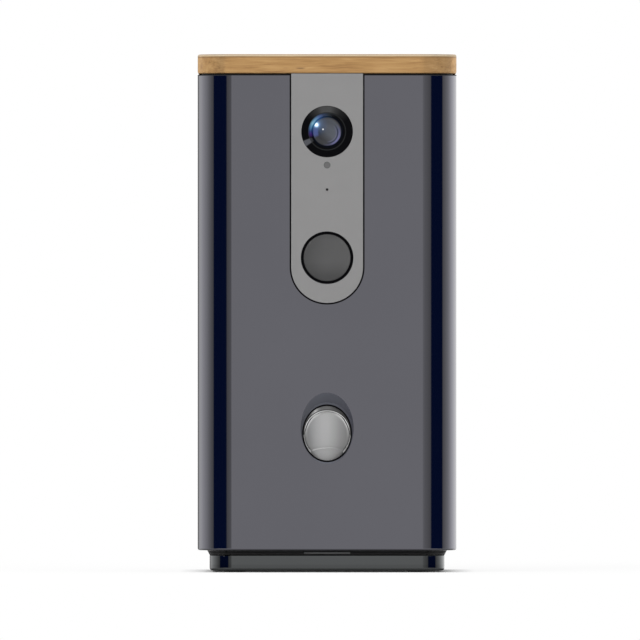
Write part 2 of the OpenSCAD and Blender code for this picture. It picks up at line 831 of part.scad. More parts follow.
module arm_shaft() {
    color("silver") {
        along_x(arm_shaft_r, spring_x - spring_len - 2, gear_x + gear_t, arm_y, arm_z);
        along_x(arm_shaft_r + 2.2, spring_x - spring_len - 2, spring_x - spring_len - 0.8, arm_y, arm_z);
    }
}

module launcher_spring() {
    color("gray") translate([spring_x - spring_len, arm_y, arm_z])
        wire(coil(arm_shaft_r + 1.2, spring_len, 6, 40, 180, 3, arm_z - chassis_top - 0.7), 0.45);
}

module launch_gear() {
    color([0.9, 0.9, 0.88]) union() {
        facing_x(gear_x, launch_y, launch_gz) linear_extrude(gear_t) union() {
            circle(launch_teeth * launch_mod / 2 - 1.13 * launch_mod);
            rotate(launch_dir + 180 + (1.5 - launch_kept) * 360 / launch_teeth)
                polygon(part_gear_points(launch_teeth, launch_mod, launch_kept));
        }
        along_x(motor_shaft_r, gear_x - 0.6, motor_x + 4, launch_y, launch_gz);
    }
}

// Small gear motor lying along Z: gearbox at the top, a flat-sided can and an end boss
module gear_motor() {
    color("silver") difference() {
        union() {
            translate([-motor_w / 2, -motor_d / 2, -9]) cube([motor_w, motor_d, 9]);
            translate([0, 0, -motor_len + 1]) intersection() {
                cylinder(r = motor_w / 2, h = motor_len - 9);
                translate([-motor_w / 2, -motor_d / 2, 0]) cube([motor_w, motor_d, motor_len]);
            }
            translate([0, 0, -motor_len]) cylinder(r = 2.4, h = 2);
            cylinder(r = 3, h = 0.5);
        }
        translate([0, 0, -5]) cylinder(r = motor_shaft_r + pin_clear, h = 10);
    }
}

module launch_motor() {
    translate([motor_x, launch_y, launch_gz]) rotate([0, -90, 0]) rotate(90) gear_motor();
}

module motor_bracket() {
    color([0.8, 0.8, 0.78]) difference() {
        union() {
            span([motor_x + 11, launch_y - 9, chassis_top], [motor_x + 18, launch_y + 9, launch_gz + 8]);
            span([bracket_foot_x - 4, launch_y - 9, chassis_top], [motor_x + 11, launch_y + 9, chassis_top + 2]);
        }
        // pocket for the motor's can, closed by the top bar
        span([motor_x, launch_y - motor_w / 2 - seat_gap, launch_gz - motor_d / 2 - seat_gap],
            [motor_x + 30, launch_y + motor_w / 2 + seat_gap, launch_gz + motor_d / 2 + seat_gap]);
        for (z = [0.3, 0.68]) along_x(4.6, motor_x, motor_x + 30, launch_y,
            chassis_top + z * (launch_gz - chassis_top));
        for (s = [-1, 1]) translate([bracket_foot_x, launch_y + s * 5.5, 0]) cylinder(r = screw_hole_r, h = 40);
    }
}

// ---- dosing ----

module drop_tube() {
    color([0.8, 0.8, 0.78]) translate([0, drop_y, 0]) difference() {
        union() {
            translate([0, 0, tube_low]) cylinder(r = tube_r, h = frame_z1 - tube_low);
            translate([0, 0, frame_z1 - 2]) cylinder(r = tube_r + 3, h = 2);
        }
        translate([0, 0, tube_low - 1]) cylinder(r = drop_r, h = frame_z1 - tube_low + 2);
    }
}

module dosing_deck() {
    color([0.8, 0.8, 0.78]) difference() {
        union() {
            translate([0, (bin_front + deck_back) / 2, frame_z1])
                plate(2 * (frame_x + frame_t), deck_back - bin_front, deck_t, 6);
            // ring that centres the bin's collar
            translate([0, rotor_y, deck_z - 1]) difference() {
                cylinder(r = collar_out + seat_gap + 1.6, h = 3);
                translate([0, 0, -1]) cylinder(r = collar_out + seat_gap, h = 6);
            }
            // socket under the deck for the dosing motor
            translate([0, pinion_y, frame_z1 - 13]) linear_extrude(13.5) difference() {
                square([motor_w + 4, motor_d + 4], center = true);
                square([motor_w + 2 * seat_gap, motor_d + 2 * seat_gap], center = true);
            }
        }
        translate([0, drop_y, frame_z1 - 1]) cylinder(r = drop_r, h = deck_t + 2);
        translate([0, rotor_y, frame_z1 - 1]) cylinder(r = spindle_r, h = deck_t + 2);
        translate([0, pinion_y, frame_z1 - 1]) cylinder(r = 3.4, h = deck_t + 2);
        translate([0, pinion_y, deck_z]) cylinder(r = pinion_tip + 1.2, h = 4);
        at_frame_screws() translate([0, 0, frame_z1 - 1]) cylinder(r = screw_hole_r, h = deck_t + 2);
        // trim where the centring ring would run past the deck
        span([-70, front_y, frame_z1 - 1], [70, bin_front, deck_z + 4]);
    }
}

module rotor_spindle() {
    color("silver") translate([0, rotor_y, 0]) {
        translate([0, 0, frame_z1 - 2]) cylinder(r = spindle_r + 3, h = 2);
        translate([0, 0, frame_z1 - 1]) cylinder(r = spindle_r - 0.01, h = rotor_h + deck_t - 0.6);
    }
}

module dosing_rotor() {
    color([0.85, 0.35, 0.12]) translate([0, rotor_y, rotor_z]) difference() {
        union() {
            cylinder(r = rotor_r, h = rotor_h);
            // lip over the gear ring, and the cone that spreads the treats
            translate([0, 0, ring_z + ring_t + 0.1 - rotor_z]) cylinder(r = rotor_r + 0.7, h = 1.5);
            translate([0, 0, rotor_h - 0.5]) cylinder(r1 = 7, r2 = 3, h = 7);
        }
        for (k = [0:pockets - 1]) rotate(-90 + 360 / pockets * (k + 0.5)) translate([pocket_at, 0, -1])
            cylinder(r = pocket_r, h = rotor_h + 2);
        translate([0, 0, -1]) cylinder(r = spindle_r + pin_clear, h = rotor_h + 0.5);
    }
}

module rotor_gear() {
    color([0.9, 0.9, 0.88]) translate([0, rotor_y, ring_z]) difference() {
        linear_extrude(ring_t) rotate(90) polygon(gear_points(ring_teeth, ring_mod));
        translate([0, 0, -1]) cylinder(r = rotor_r + 0.02, h = ring_t + 2);
    }
}

module dosing_pinion() {
    color([0.9, 0.9, 0.88]) translate([0, pinion_y, 0]) union() {
        translate([0, 0, ring_z - 0.2]) linear_extrude(ring_t + 0.6) rotate(-90 + 180 / pinion_teeth)
            polygon(gear_points(pinion_teeth, ring_mod));
        translate([0, 0, frame_z1 - 4]) cylinder(r = motor_shaft_r, h = ring_z + ring_t + 1 - frame_z1 + 4);
    }
}

module dosing_motor() {
    translate([0, pinion_y, frame_z1 - 0.6]) gear_motor();
}

module treat_bin() {
    color([0.9, 0.9, 0.88, 0.8]) difference() {
        union() {
            bin_form(0, 0);
            // collar round the rotor, standing on the deck
            translate([0, rotor_y, deck_z]) difference() {
                cylinder(r = collar_out, h = throat_z - deck_z + 3);
                translate([0, 0, -1]) cylinder(r = collar_r, h = throat_z - deck_z + 6);
            }
            // rim that hangs on the shell's ledge
            translate([0, 0, bin_top - rim_t])
                plate(inner_w - 2 * seat_gap, inner_d - 2 * seat_gap, rim_t, inner_r - seat_gap);
        }
        bin_form(bin_wall, bin_wall / sin(funnel_angle));
        // window for the pinion
        translate([0, pinion_y, deck_z - 1]) cylinder(r = pinion_tip + 1.2, h = ring_z + ring_t + 2.4 - deck_z);
    }
    // cover that keeps treats from falling straight through the pocket over the drop tube
    color([0.9, 0.9, 0.88]) translate([0, rotor_y, throat_z]) intersection() {
        cylinder(r = throat_r + 1, h = 1.6);
        translate([-pocket_r - 2.4, -throat_r - 2, -1]) cube([2 * pocket_r + 4.8, throat_r - pocket_at + pocket_r + 3, 4]);
    }
}

// Space of the bin, drawn in by t at its walls and by s at its funnel
module bin_form(t, s) {
    intersection() {
        translate([0, bin_y, throat_z - (t > 0 ? 1 : 0)])
            plate(bin_w - 2 * t, bin_d - 2 * t, funnel_h + 1, bin_r - t);
        translate([0, rotor_y, throat_z - 2]) union() {
            cylinder(r = throat_r + bin_wall / sin(funnel_angle) - s, h = 2.1);
            translate([0, 0, 2]) cylinder(r1 = throat_r + bin_wall / sin(funnel_angle) - s,
                r2 = funnel_top_r + bin_wall / sin(funnel_angle) - s, h = funnel_h);
        }
    }
    translate([0, bin_y, throat_z + funnel_h - 0.5])
        plate(bin_w - 2 * t, bin_d - 2 * t, bin_top - throat_z - funnel_h + 0.5 + (t > 0 ? 1 : 0), bin_r - t);
}

// ---- frames, boards and the back ----

module chassis_plate() {
    color([0.3, 0.3, 0.32]) difference() {
        union() {
            translate([0, 0, chassis_z]) plate(inner_w - 3, inner_d - 3, chassis_t, inner_r - 1.5);
            translate([0, 0, chassis_z]) at_screws() cylinder(r = boss_r, h = boss_h);
            // slots that hold the inlet board
            for (x = [inlet_x + 7, reset_x - 7]) {
                span([x - 1.5, io_y - pcb_t - 2.2, chassis_z], [x + 1.5, io_y - pcb_t - 0.1, chassis_top + 4]);
                span([x - 1.5, io_y + 0.1, chassis_z], [x + 1.5, io_y + 2.2, chassis_top + 4]);
            }
        }
        // lightening and wire openings
        translate([0, 14, chassis_z - 1]) plate(56, 24, chassis_t + 2, 6);
        translate([0, 0, chassis_z - 1]) at_screws() cylinder(r = screw_hole_r, h = 12);
        translate([0, 0, chassis_z - 1]) at_frame_screws() cylinder(r = screw_hole_r, h = 4);
        for (s = [-1, 1]) {
            translate([s * (side_in + 5.6), frame_back - 9, chassis_z - 1]) cylinder(r = screw_hole_r, h = 4);
            translate([bracket_foot_x, launch_y + s * 5.5, chassis_z - 1]) cylinder(r = screw_hole_r, h = 4);
        }
    }
}

// Side frame on the right: an upright panel with two windows and a flange above and below
module side_frame() {
    difference() {
        union() {
            span([frame_x, frame_y0, chassis_top], [frame_x + frame_t, frame_y1, frame_z1]);
            for (z = [chassis_top, frame_z1 - frame_t])
                span([frame_x - 6.2, frame_y0, z], [frame_x + 1, frame_y1, z + frame_t]);
        }
        for (z = [30, 66]) facing_x(frame_x - 1, (frame_y0 + frame_y1) / 2, z) linear_extrude(frame_t + 2)
            translate([-24, 0]) union() {
                translate([4, 0]) square([40, 28]);
                translate([0, 4]) square([48, 20]);
                for (a = [4, 44], b = [4, 24]) translate([a, b]) circle(4);
            }
        translate([0, 0, chassis_top - 1]) at_frame_screws() cylinder(r = screw_hole_r, h = 100);
        // room for the chassis bosses
        at_screws() cylinder(r = boss_r + 0.4, h = chassis_z + boss_h + 0.5);
    }
}

module right_frame() {
    color([0.3, 0.3, 0.32]) side_frame();
}

module left_frame() {
    color([0.3, 0.3, 0.32]) difference() {
        union() {
            mirror([1, 0, 0]) side_frame();
            at_main_posts() along_x(post_r, -frame_x - mb_x - 0.5, 0, 0, 0);
        }
        at_main_posts() along_x(post_hole_r, -4, 1, 0, 0);
    }
}

module frame_screws() {
    color("silver") {
        at_frame_screws() translate([0, 0, deck_z]) mirror([0, 0, 1]) screw(deck_t + frame_t + 1);
        at_frame_screws() translate([0, 0, chassis_top + frame_t]) mirror([0, 0, 1]) screw(frame_t + chassis_t);
        for (s = [-1, 1]) {
            translate([s * (side_in + 5.6), frame_back - 9, chassis_top + 2]) mirror([0, 0, 1])
                screw(chassis_t + 2);
            translate([bracket_foot_x, launch_y + s * 5.5, chassis_top + 2]) mirror([0, 0, 1])
                screw(chassis_t + 2);
        }
    }
}

module main_board() {
    color([0.05, 0.25, 0.15]) difference() {
        union() {
            span([mb_x, mb_y0, mb_low], [mb_x + pcb_t, mb_y1, mb_high]);
            // processor under its heat sink, memory, coil, two capacitors and the sockets
            span([mb_x, -8, 56], [mb_x + pcb_t + 2, 12, 76]);
            for (i = [0:4]) span([mb_x, -7 + 4 * i, 57], [mb_x + pcb_t + 7, -5.6 + 4 * i, 75]);
            span([mb_x, 18, 60], [mb_x + pcb_t + 1.2, 28, 72]);
            along_x(5, mb_x, mb_x + pcb_t + 4, -18, 44);
            for (y = [18, 27]) along_x(3.6, mb_x, mb_x + pcb_t + 9, y, 40);
            span([mb_x, mb_y0 + 2, 86], [mb_x + pcb_t + 3, mb_y0 + 10, 92]);
            for (y = [-2, 8]) span([mb_x, y, 30], [mb_x + pcb_t + 5, y + 7, 35]);
        }
        at_main_posts() along_x(post_hole_r + 0.1, -1, 3, 0, 0);
    }
}

module wifi_antenna() {
    color([0.1, 0.1, 0.1]) span([-inner_w / 2, -14, 150], [-inner_w / 2 + 0.8, 14, 158]);
}

module camera_cable() {
    cable_y = board_y + pcb_t + 1.6;
    color([0.1, 0.1, 0.1]) wire([[-5, cable_y, board_low + 7.8], [-5, cable_y, deck_z + 8],
        [-9, cable_y, deck_z - 1], [-22, cable_y, 103], [-36, cable_y + 1, 98], [-42, cable_y + 6, 93],
        [mb_x + pcb_t + 1.5, mb_y0 - 6, 89.5], [mb_x + pcb_t + 1.5, mb_y0 + 1.9, 89]], 1.2, 8);
}

module speaker() {
    color([0.15, 0.15, 0.15]) turned(speaker_z) translate([0, inner_back - front_y - 12.5]) difference() {
        polygon([[0, 0], [10, 0], [10, 4], [13, 4], [18.6, 9.5], [speaker_r, 9.5], [speaker_r, 11.5], [0, 11.5]]);
        // paper cone and dust cap
        polygon([[5, 7.5], [16.5, 12], [0, 12], [0, 9.2], [3.4, 8.6]]);
    }
}

module speaker_gasket() {
    color([0.1, 0.1, 0.1]) turned(speaker_z) translate([speaker_r - 2.6, inner_back - front_y - 1]) square([2.6, 1]);
}

module inlet_board() {
    color([0.05, 0.25, 0.15]) {
        span([reset_x - 10, io_y - pcb_t, chassis_top], [inlet_x + 10, io_y, io_high]);
        // switch behind the reset button
        span([reset_x - 3, io_y - 0.5, inlet_z - 3], [reset_x + 3, io_y + 3.4, inlet_z + 3]);
        along_y(1.2, io_y + 3, io_y + 6.4 - reset_travel - 0.2, reset_x, inlet_z);
    }
}

module power_inlet() {
    color([0.03, 0.03, 0.03]) union() {
        difference() {
            union() {
                span([inlet_x - 4.6, io_y, inlet_z - 5.5], [inlet_x + 4.6, inner_back - 0.1, inlet_z + 5.5]);
                along_y(inlet_nose_r, inner_back - 1, -front_y - 0.1, inlet_x, inlet_z);
            }
            along_y(inlet_r, -front_y - 0.1 - inlet_depth, -front_y + 1, inlet_x, inlet_z);
        }
        along_y(1, -front_y - 1 - inlet_depth, -front_y - 2.5, inlet_x, inlet_z);
    }
}

module reset_button() {
    color([0.1, 0.1, 0.1]) {
        along_y(reset_r, io_y + 6.4, -front_y - 0.3, reset_x, inlet_z);
        along_y(reset_r + 1.2, inner_back - 1.6, inner_back - 0.2, reset_x, inlet_z);
    }
}

// ---- base ----

module base_neck() {
    color([0.05, 0.05, 0.05]) difference() {
        translate([0, 0, plinth_top]) union() {
            plate(neck_w, neck_d, groove_h, neck_r);
            // concave fillet running out onto the plinth
            swept_block(neck_w + 2 * neck_fillet, neck_d + 2 * neck_fillet, neck_fillet, neck_r + neck_fillet)
                flare_section(neck_r + neck_fillet, neck_fillet);
        }
        translate([0, 0, plinth_top - 1]) plate(neck_open_w, neck_open_d, groove_h + 2, neck_open_r);
        translate([0, 0, plinth_top - 1]) at_screws() cylinder(r = screw_r + 0.3, h = groove_h + 2);
        span([-light_w / 2 - 0.1, front_y, light_z - 0.1], [light_w / 2 + 0.1, 0, light_z + light_h + 0.1]);
    }
}

module base_plinth() {
    color([0.34, 0.34, 0.34]) difference() {
        translate([0, 0, foot_out]) block(base_w, base_d, plinth_h, base_r, plinth_edge, 0.4);
        translate([0, 0, foot_out - 1])
            plate(base_w - 2 * base_wall, base_d - 2 * base_wall, plinth_h - base_wall + 1, base_r - base_wall);
        translate([0, 0, foot_out]) plate(neck_open_w, neck_open_d, plinth_h + 2, neck_open_r);
        at_screws() cylinder(r = screw_r + 0.3, h = 20);
    }
}

module base_plate() {
    color([0.08, 0.08, 0.08]) difference() {
        union() {
            translate([0, 0, foot_out]) plate(base_w - 2 * base_wall - 2 * seat_gap,
                base_d - 2 * base_wall - 2 * seat_gap, plate_under_t, base_r - base_wall - seat_gap);
            translate([0, 0, foot_out]) at_screws()
                translate([-0.1, 0, 0]) cylinder(r = head_r + 0.5, h = plinth_h - base_wall);
            // ribs that hold the light board
            for (y = [light_board_y - pcb_t - 1.6, light_board_y + 0.1])
                span([-10, y, foot_out + 1], [10, y + 1.5, foot_out + plate_under_t + 2]);
        }
        at_screws() cylinder(r = screw_hole_r, h = 20);
        at_screws() cylinder(r = head_r + 0.2, h = screw_seat);
        at_feet() cylinder(r = foot_r + 0.15, h = foot_out + foot_sink);
        // vent slots under the boards
        for (i = [-4:4]) span([i * 5 - 1, 4, 0], [i * 5 + 1, 24, 5]);
    }
}

module base_screws() {
    color("silver") translate([0, 0, screw_seat]) at_screws() screw(chassis_z + 9 - screw_seat);
}

module rubber_feet() {
    color([0.1, 0.1, 0.1]) at_feet() rotate_extrude() edge_section(foot_r, foot_out + foot_sink, 0.4, 0);
}

module status_light() {
    color([0.8, 0.8, 0.8]) span([-light_w / 2, -neck_d / 2 - 0.9, light_z], [light_w / 2,
        -neck_open_d / 2 - 0.2, light_z + light_h]);
}

module light_board() {
    color([0.05, 0.25, 0.15]) {
        span([-14, light_board_y - pcb_t, foot_out + plate_under_t], [14, light_board_y, chassis_z - 0.6]);
        for (x = [-8, 0, 8]) span([x - 1.5, light_board_y - pcb_t - 0.7, light_z - 0.4],
            [x + 1.5, light_board_y, light_z + light_h + 0.4]);
    }
}

// ---- lid ----

module lid_board() {
    color([0.78, 0.64, 0.45]) difference() {
        translate([0, 0, lid_z]) block(body_w, body_d, lid_t, corner_r, lid_edge, lid_edge);
        at_lid_screws() translate([0, 0, lid_z - 1]) cylinder(r = screw_hole_r, h = 7.4);
    }
}

// Outline of the plug, drawn in by t from the bin's inner wall
module plug_plate(t, h) {
    plate(bin_w - 2 * bin_wall - 2 * t, bin_d - 2 * bin_wall - 2 * t, h, bin_r - bin_wall - t);
}

module lid_plug() {
    color([0.1, 0.1, 0.1]) difference() {
        union() {
            translate([0, 0, shell_top]) plate(body_w - 2 * flange_inset, body_d - 2 * flange_inset, lid_gap,
                corner_r - flange_inset);
            translate([0, bin_y, shell_top - plug_h]) plug_plate(0.6, plug_h + lid_gap / 2);
        }
        // hollow, open below
        translate([0, bin_y, shell_top - plug_h - 1]) plug_plate(3.4, plug_h - 0.4);
        // groove for the gasket
        translate([0, bin_y, gasket_z]) difference() {
            plug_plate(-1, gasket_h);
            translate([0, 0, -1]) plug_plate(1.6, gasket_h + 2);
        }
        at_lid_screws() cylinder(r = screw_hole_r, h = total_h);
    }
}

module lid_gasket() {
    color([0.5, 0.5, 0.5]) translate([0, bin_y, gasket_z]) difference() {
        plug_plate(0.25, gasket_h);
        translate([0, 0, -1]) plug_plate(1.6, gasket_h + 2);
    }
}

module lid_screws() {
    color("silver") at_lid_screws() translate([0, 0, shell_top - 1.4]) screw(7.6);
}

outer_shell();
camera_plate();
camera_bezel();
lens_window();
lens_barrel();
lens_element();
camera_board();
board_screws();
light_sensor();
microphone();
call_button();
button_ring();
button_switch();
outlet_ring();
outlet_flap();
flap_pin();
flap_spring();
launch_chute();
launch_frame();
launcher_arm();
arm_sector();
arm_shaft();
launcher_spring();
launch_gear();
launch_motor();
motor_bracket();
drop_tube();
dosing_deck();
rotor_spindle();
dosing_rotor();
rotor_gear();
dosing_pinion();
dosing_motor();
treat_bin();
chassis_plate();
left_frame();
right_frame();
frame_screws();
main_board();
wifi_antenna();
camera_cable();
speaker();
speaker_gasket();
inlet_board();
power_inlet();
reset_button();
base_neck();
base_plinth();
base_plate();
base_screws();
rubber_feet();
status_light();
light_board();
lid_board();
lid_plug();
lid_gasket();
lid_screws();
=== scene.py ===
import json
import math
import bpy
import numpy as np
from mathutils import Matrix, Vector


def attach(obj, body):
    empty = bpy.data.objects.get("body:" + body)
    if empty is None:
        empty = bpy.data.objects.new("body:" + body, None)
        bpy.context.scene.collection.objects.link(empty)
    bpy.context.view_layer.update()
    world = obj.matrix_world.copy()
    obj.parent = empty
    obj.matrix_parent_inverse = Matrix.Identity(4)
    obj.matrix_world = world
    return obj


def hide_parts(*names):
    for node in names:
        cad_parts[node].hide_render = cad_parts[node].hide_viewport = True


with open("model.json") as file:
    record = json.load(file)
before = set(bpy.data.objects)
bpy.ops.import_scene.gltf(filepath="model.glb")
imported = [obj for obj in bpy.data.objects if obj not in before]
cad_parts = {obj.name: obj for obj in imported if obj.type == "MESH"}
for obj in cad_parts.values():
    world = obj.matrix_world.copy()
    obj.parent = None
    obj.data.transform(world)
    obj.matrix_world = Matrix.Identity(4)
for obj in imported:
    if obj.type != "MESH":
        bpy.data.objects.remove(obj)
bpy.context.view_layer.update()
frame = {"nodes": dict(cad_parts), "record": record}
cad = frame["nodes"]
print("frame loaded,", len(cad), "pieces")

# helpers that add shader nodes to the node tree t


def addNode(t, kind, inputs=None, **settings):
    # one shader node; inputs maps a socket's name or number to a value or to another node's output
    n = t.nodes.new(kind)
    for key, value in settings.items():
        setattr(n, key, value)
    for key, value in (inputs or {}).items():
        if isinstance(value, bpy.types.NodeSocket):
            t.links.new(value, n.inputs[key])
        else:
            n.inputs[key].default_value = value
    return n


def calc(t, operation, a, b=0.0, c=0.0):
    # one math node's output: operation(a, b, c)
    return addNode(t, "ShaderNodeMath", {0: a, 1: b, 2: c}, operation=operation).outputs[0]


def times(t, a, b):
    # a * b
    return calc(t, "MULTIPLY", a, b)


def add(t, a, b):
    # a + b
    return calc(t, "ADD", a, b)


def blendColours(t, factor, a, b, mode="MIX"):
    # a where factor is 0, b where it is 1
    n = addNode(t, "ShaderNodeMix", data_type="RGBA", blend_type=mode)
    for key, value in ((0, factor), (6, a), (7, b)):
        if isinstance(value, bpy.types.NodeSocket):
            t.links.new(value, n.inputs[key])
        else:
            n.inputs[key].default_value = value
    return n.outputs[2]


def tinted(t, a, b):
    # colours a * b
    return blendColours(t, 1.0, a, b, "MULTIPLY")


def plus(t, a, b):
    # colours a + b
    return blendColours(t, 1.0, a, b, "ADD")


def scaled(t, colour, factor):
    # colour times a number
    return addNode(t, "ShaderNodeVectorMath", {0: colour, 3: factor}, operation="SCALE").outputs[0]


def rampOf(t, factor, stops):
    # colour ramp, a straight line between (place, colour) stops
    n = addNode(t, "ShaderNodeValToRGB", {0: factor})
    e = n.color_ramp.elements
    while len(e) < len(stops):
        e.new(0.5)
    for k, (at, colour) in enumerate(stops):
        e[k].position = at
        e[k].color = grey(colour)
    return n.outputs[0]


def grey(colour):
    # a number becomes a neutral colour, and three numbers get an alpha of 1
    if isinstance(colour, (int, float)):
        return (colour, colour, colour, 1.0)
    return tuple(colour)[:3] + (1.0,)


def startMaterial(name):
    # an empty material with its Principled shader and the object's own coordinates
    m = bpy.data.materials.new(name)
    m.use_nodes = True
    t = m.node_tree
    t.nodes.clear()
    shader = addNode(t, "ShaderNodeBsdfPrincipled")
    addNode(t, "ShaderNodeOutputMaterial", {"Surface": shader.outputs[0]})
    where = addNode(t, "ShaderNodeTexCoord").outputs["Object"]
    return m, t, shader, where


def stretched(t, where, scale, shift=(0, 0, 0)):
    # the same coordinates times scale, plus shift
    return addNode(t, "ShaderNodeMapping", {0: where, "Scale": scale, "Location": shift}).outputs[0]


def noise(t, where, scale, detail=2.0, roughness=0.5, distortion=0.0):
    # smooth noise from 0 to 1, scale in bumps per metre
    return addNode(t, "ShaderNodeTexNoise", {"Vector": where, "Scale": scale, "Detail": detail,
                   "Roughness": roughness, "Distortion": distortion}).outputs[0]


def spread(t, value, low, high, toLow, toHigh):
    # value from low..high mapped to toLow..toHigh and held there
    return addNode(t, "ShaderNodeMapRange", {0: value, 1: low, 2: high, 3: toLow, 4: toHigh}).outputs[0]


def blendSockets(t, shader, share, ends):
    # each named socket goes from its first end to its second as share goes from 0 to 1
    for socket, (first, second) in ends.items():
        t.links.new(spread(t, share, 0.0, 1.0, first, second), shader.inputs[socket])


def bumped(t, shader, height, distance):
    # shader's normal is tilted by the slope of height times distance in metres
    n = addNode(t, "ShaderNodeBump", {"Height": height, "Distance": distance, "Strength": 1.0})
    t.links.new(n.outputs[0], shader.inputs["Normal"])


def inMillimetres(t, where):
    # the three coordinates in millimetres
    xyz = addNode(t, "ShaderNodeSeparateXYZ", {0: where})
    return [times(t, o, 1000.0) for o in xyz.outputs]


def hypot(t, a, b):
    # sqrt(a * a + b * b)
    return calc(t, "SQRT", add(t, times(t, a, a), times(t, b, b)))


def fromPoint(t, x, z, at):
    # sqrt((x - at[0])^2 + (z - at[1])^2)
    return hypot(t, add(t, x, -at[0]), add(t, z, -at[1]))


def turnOf(t, x, z):
    # angle from the direction of z in degrees = atan2(x, z) * 180 / pi
    return times(t, calc(t, "ARCTAN2", x, z), 180 / math.pi)


def both(t, *masks):
    # product of masks
    done = masks[0]
    for m in masks[1:]:
        done = times(t, done, m)
    return done


def above(t, value, level, soft=0.03):
    # 0 below the level, 1 over it, with a ramp of width soft
    return spread(t, value, level - soft / 2, level + soft / 2, 0.0, 1.0)


def below(t, value, level, soft=0.03):
    # 1 below the level, 0 over it
    return spread(t, value, level - soft / 2, level + soft / 2, 1.0, 0.0)


def band(t, value, low, high, soft, fade=None):
    # 1 between low and high, with a ramp of width soft at low and of width fade, or soft again, at high
    return both(t, above(t, value, low, soft), below(t, value, high, soft if fade is None else fade))


def curve(t, value, stops):
    # straight lines through (value, level) stops, held at the first and the last level outside them
    low, high = stops[0][0], stops[-1][0]
    at = spread(t, value, low, high, 0.0, 1.0)
    return rampOf(t, at, [((v - low) / (high - low), level) for v, level in stops])


def shade(colour, factor):
    # colour * factor as plain numbers, with an alpha of 1
    return tuple(c * factor for c in colour[:3]) + (1.0,)


# materials


def mottled(t, share, look):
    # look's colour * (1 - vary) where share is low, and * (1 + vary) where it is high
    dark, pale = shade(look["colour"], 1 - look["vary"]), shade(look["colour"], 1 + look["vary"])
    return blendColours(t, spread(t, share, 0.3, 0.7, 0.0, 1.0), dark, pale)


def moulded(name, look, paint=None):
    # moulded or painted surface: colour mottled by 0.65 broad noise + 0.35 fine grain; height = fine grain
    # paint(t, where, colour, shader) changes the colour by place
    m, t, shader, where = startMaterial(name)
    broad = noise(t, where, look.get("broad", 30.0), 3.0)
    fine = noise(t, where, look["grain"], 2.0, 0.6)
    colour = mottled(t, calc(t, "MULTIPLY_ADD", broad, 0.65, times(t, fine, 0.35)), look)
    r, v = look["rough"], look.get("roughVary", 0.03)
    t.links.new(spread(t, fine, 0.3, 0.7, r - v, r + v), shader.inputs["Roughness"])
    shader.inputs["Metallic"].default_value = look.get("metal", 0.0)
    if paint:
        colour = paint(t, where, colour, shader)
    t.links.new(colour, shader.inputs["Base Color"])
    shader.inputs["IOR"].default_value = look.get("ior", 1.5)
    if look.get("coat"):
        shader.inputs["Coat Weight"].default_value = look["coat"]
        shader.inputs["Coat Roughness"].default_value = look.get("coatRough", 0.05)
    if look.get("bump"):
        bumped(t, shader, fine, look["bump"])
    return m


def drawnMetal(name, look):
    # drawn or turned metal: streaks = noise stretched along one axis, stains = broad noise
    # 0.7 streaks + 0.3 stains change colour and gloss; height = streaks
    m, t, shader, where = startMaterial(name)
    streaks = noise(t, stretched(t, where, look["stretch"]), look["grain"], 3.0, 0.6)
    stains = noise(t, where, 45.0, 3.0)
    wear = calc(t, "MULTIPLY_ADD", streaks, 0.7, times(t, stains, 0.3))
    t.links.new(mottled(t, wear, look), shader.inputs["Base Color"])
    gloss = spread(t, wear, 0.3, 0.7, look["rough"] - 0.06, look["rough"] + 0.08)
    t.links.new(gloss, shader.inputs["Roughness"])
    shader.inputs["Metallic"].default_value = 1.0
    bumped(t, shader, streaks, look["bump"])
    return m


def clearGlass(name, look):
    # coated glass: a faint film of dust, which is fine noise, changes its gloss and its tint
    m, t, shader, where = startMaterial(name)
    dust = noise(t, where, look["grain"], 4.0, 0.7)
    t.links.new(spread(t, dust, 0.4, 0.8, look["rough"], look["rough"] + 0.05), shader.inputs["Roughness"])
    tint = blendColours(t, dust, shade(look["colour"], 0.95), shade(look["colour"], 1.0))
    t.links.new(tint, shader.inputs["Base Color"])
    shader.inputs["Transmission Weight"].default_value = look["clear"]
    shader.inputs["IOR"].default_value = look["ior"]
    shader.inputs["Coat Weight"].default_value = 1.0
    shader.inputs["Coat Roughness"].default_value = 0.02
    shader.inputs["Coat Tint"].default_value = grey(look["coating"])
    return m


def solderMask(name, look):
    # circuit board: tracks = fraction of rings * the distance from a cell's middle, under the green mask
    # pads = the middles of the cells
    m, t, shader, where = startMaterial(name)
    cell = {"Vector": where, "Scale": look["tracks"]}
    away = addNode(t, "ShaderNodeTexVoronoi", cell, distance="CHEBYCHEV").outputs["Distance"]
    rings = calc(t, "FRACT", times(t, away, look["rings"]))
    track = spread(t, rings, 0.42, 0.5, 0.0, 1.0)
    pads = spread(t, away, 0.06, 0.05, 0.0, 1.0)
    colour = blendColours(t, track, grey(look["mask"]), grey(look["track"]))
    colour = blendColours(t, pads, colour, grey(look["pad"]))
    t.links.new(colour, shader.inputs["Base Color"])
    t.links.new(times(t, pads, 0.9), shader.inputs["Metallic"])
    shader.inputs["Roughness"].default_value = 0.35
    bumped(t, shader, track, look["bump"])
    return m


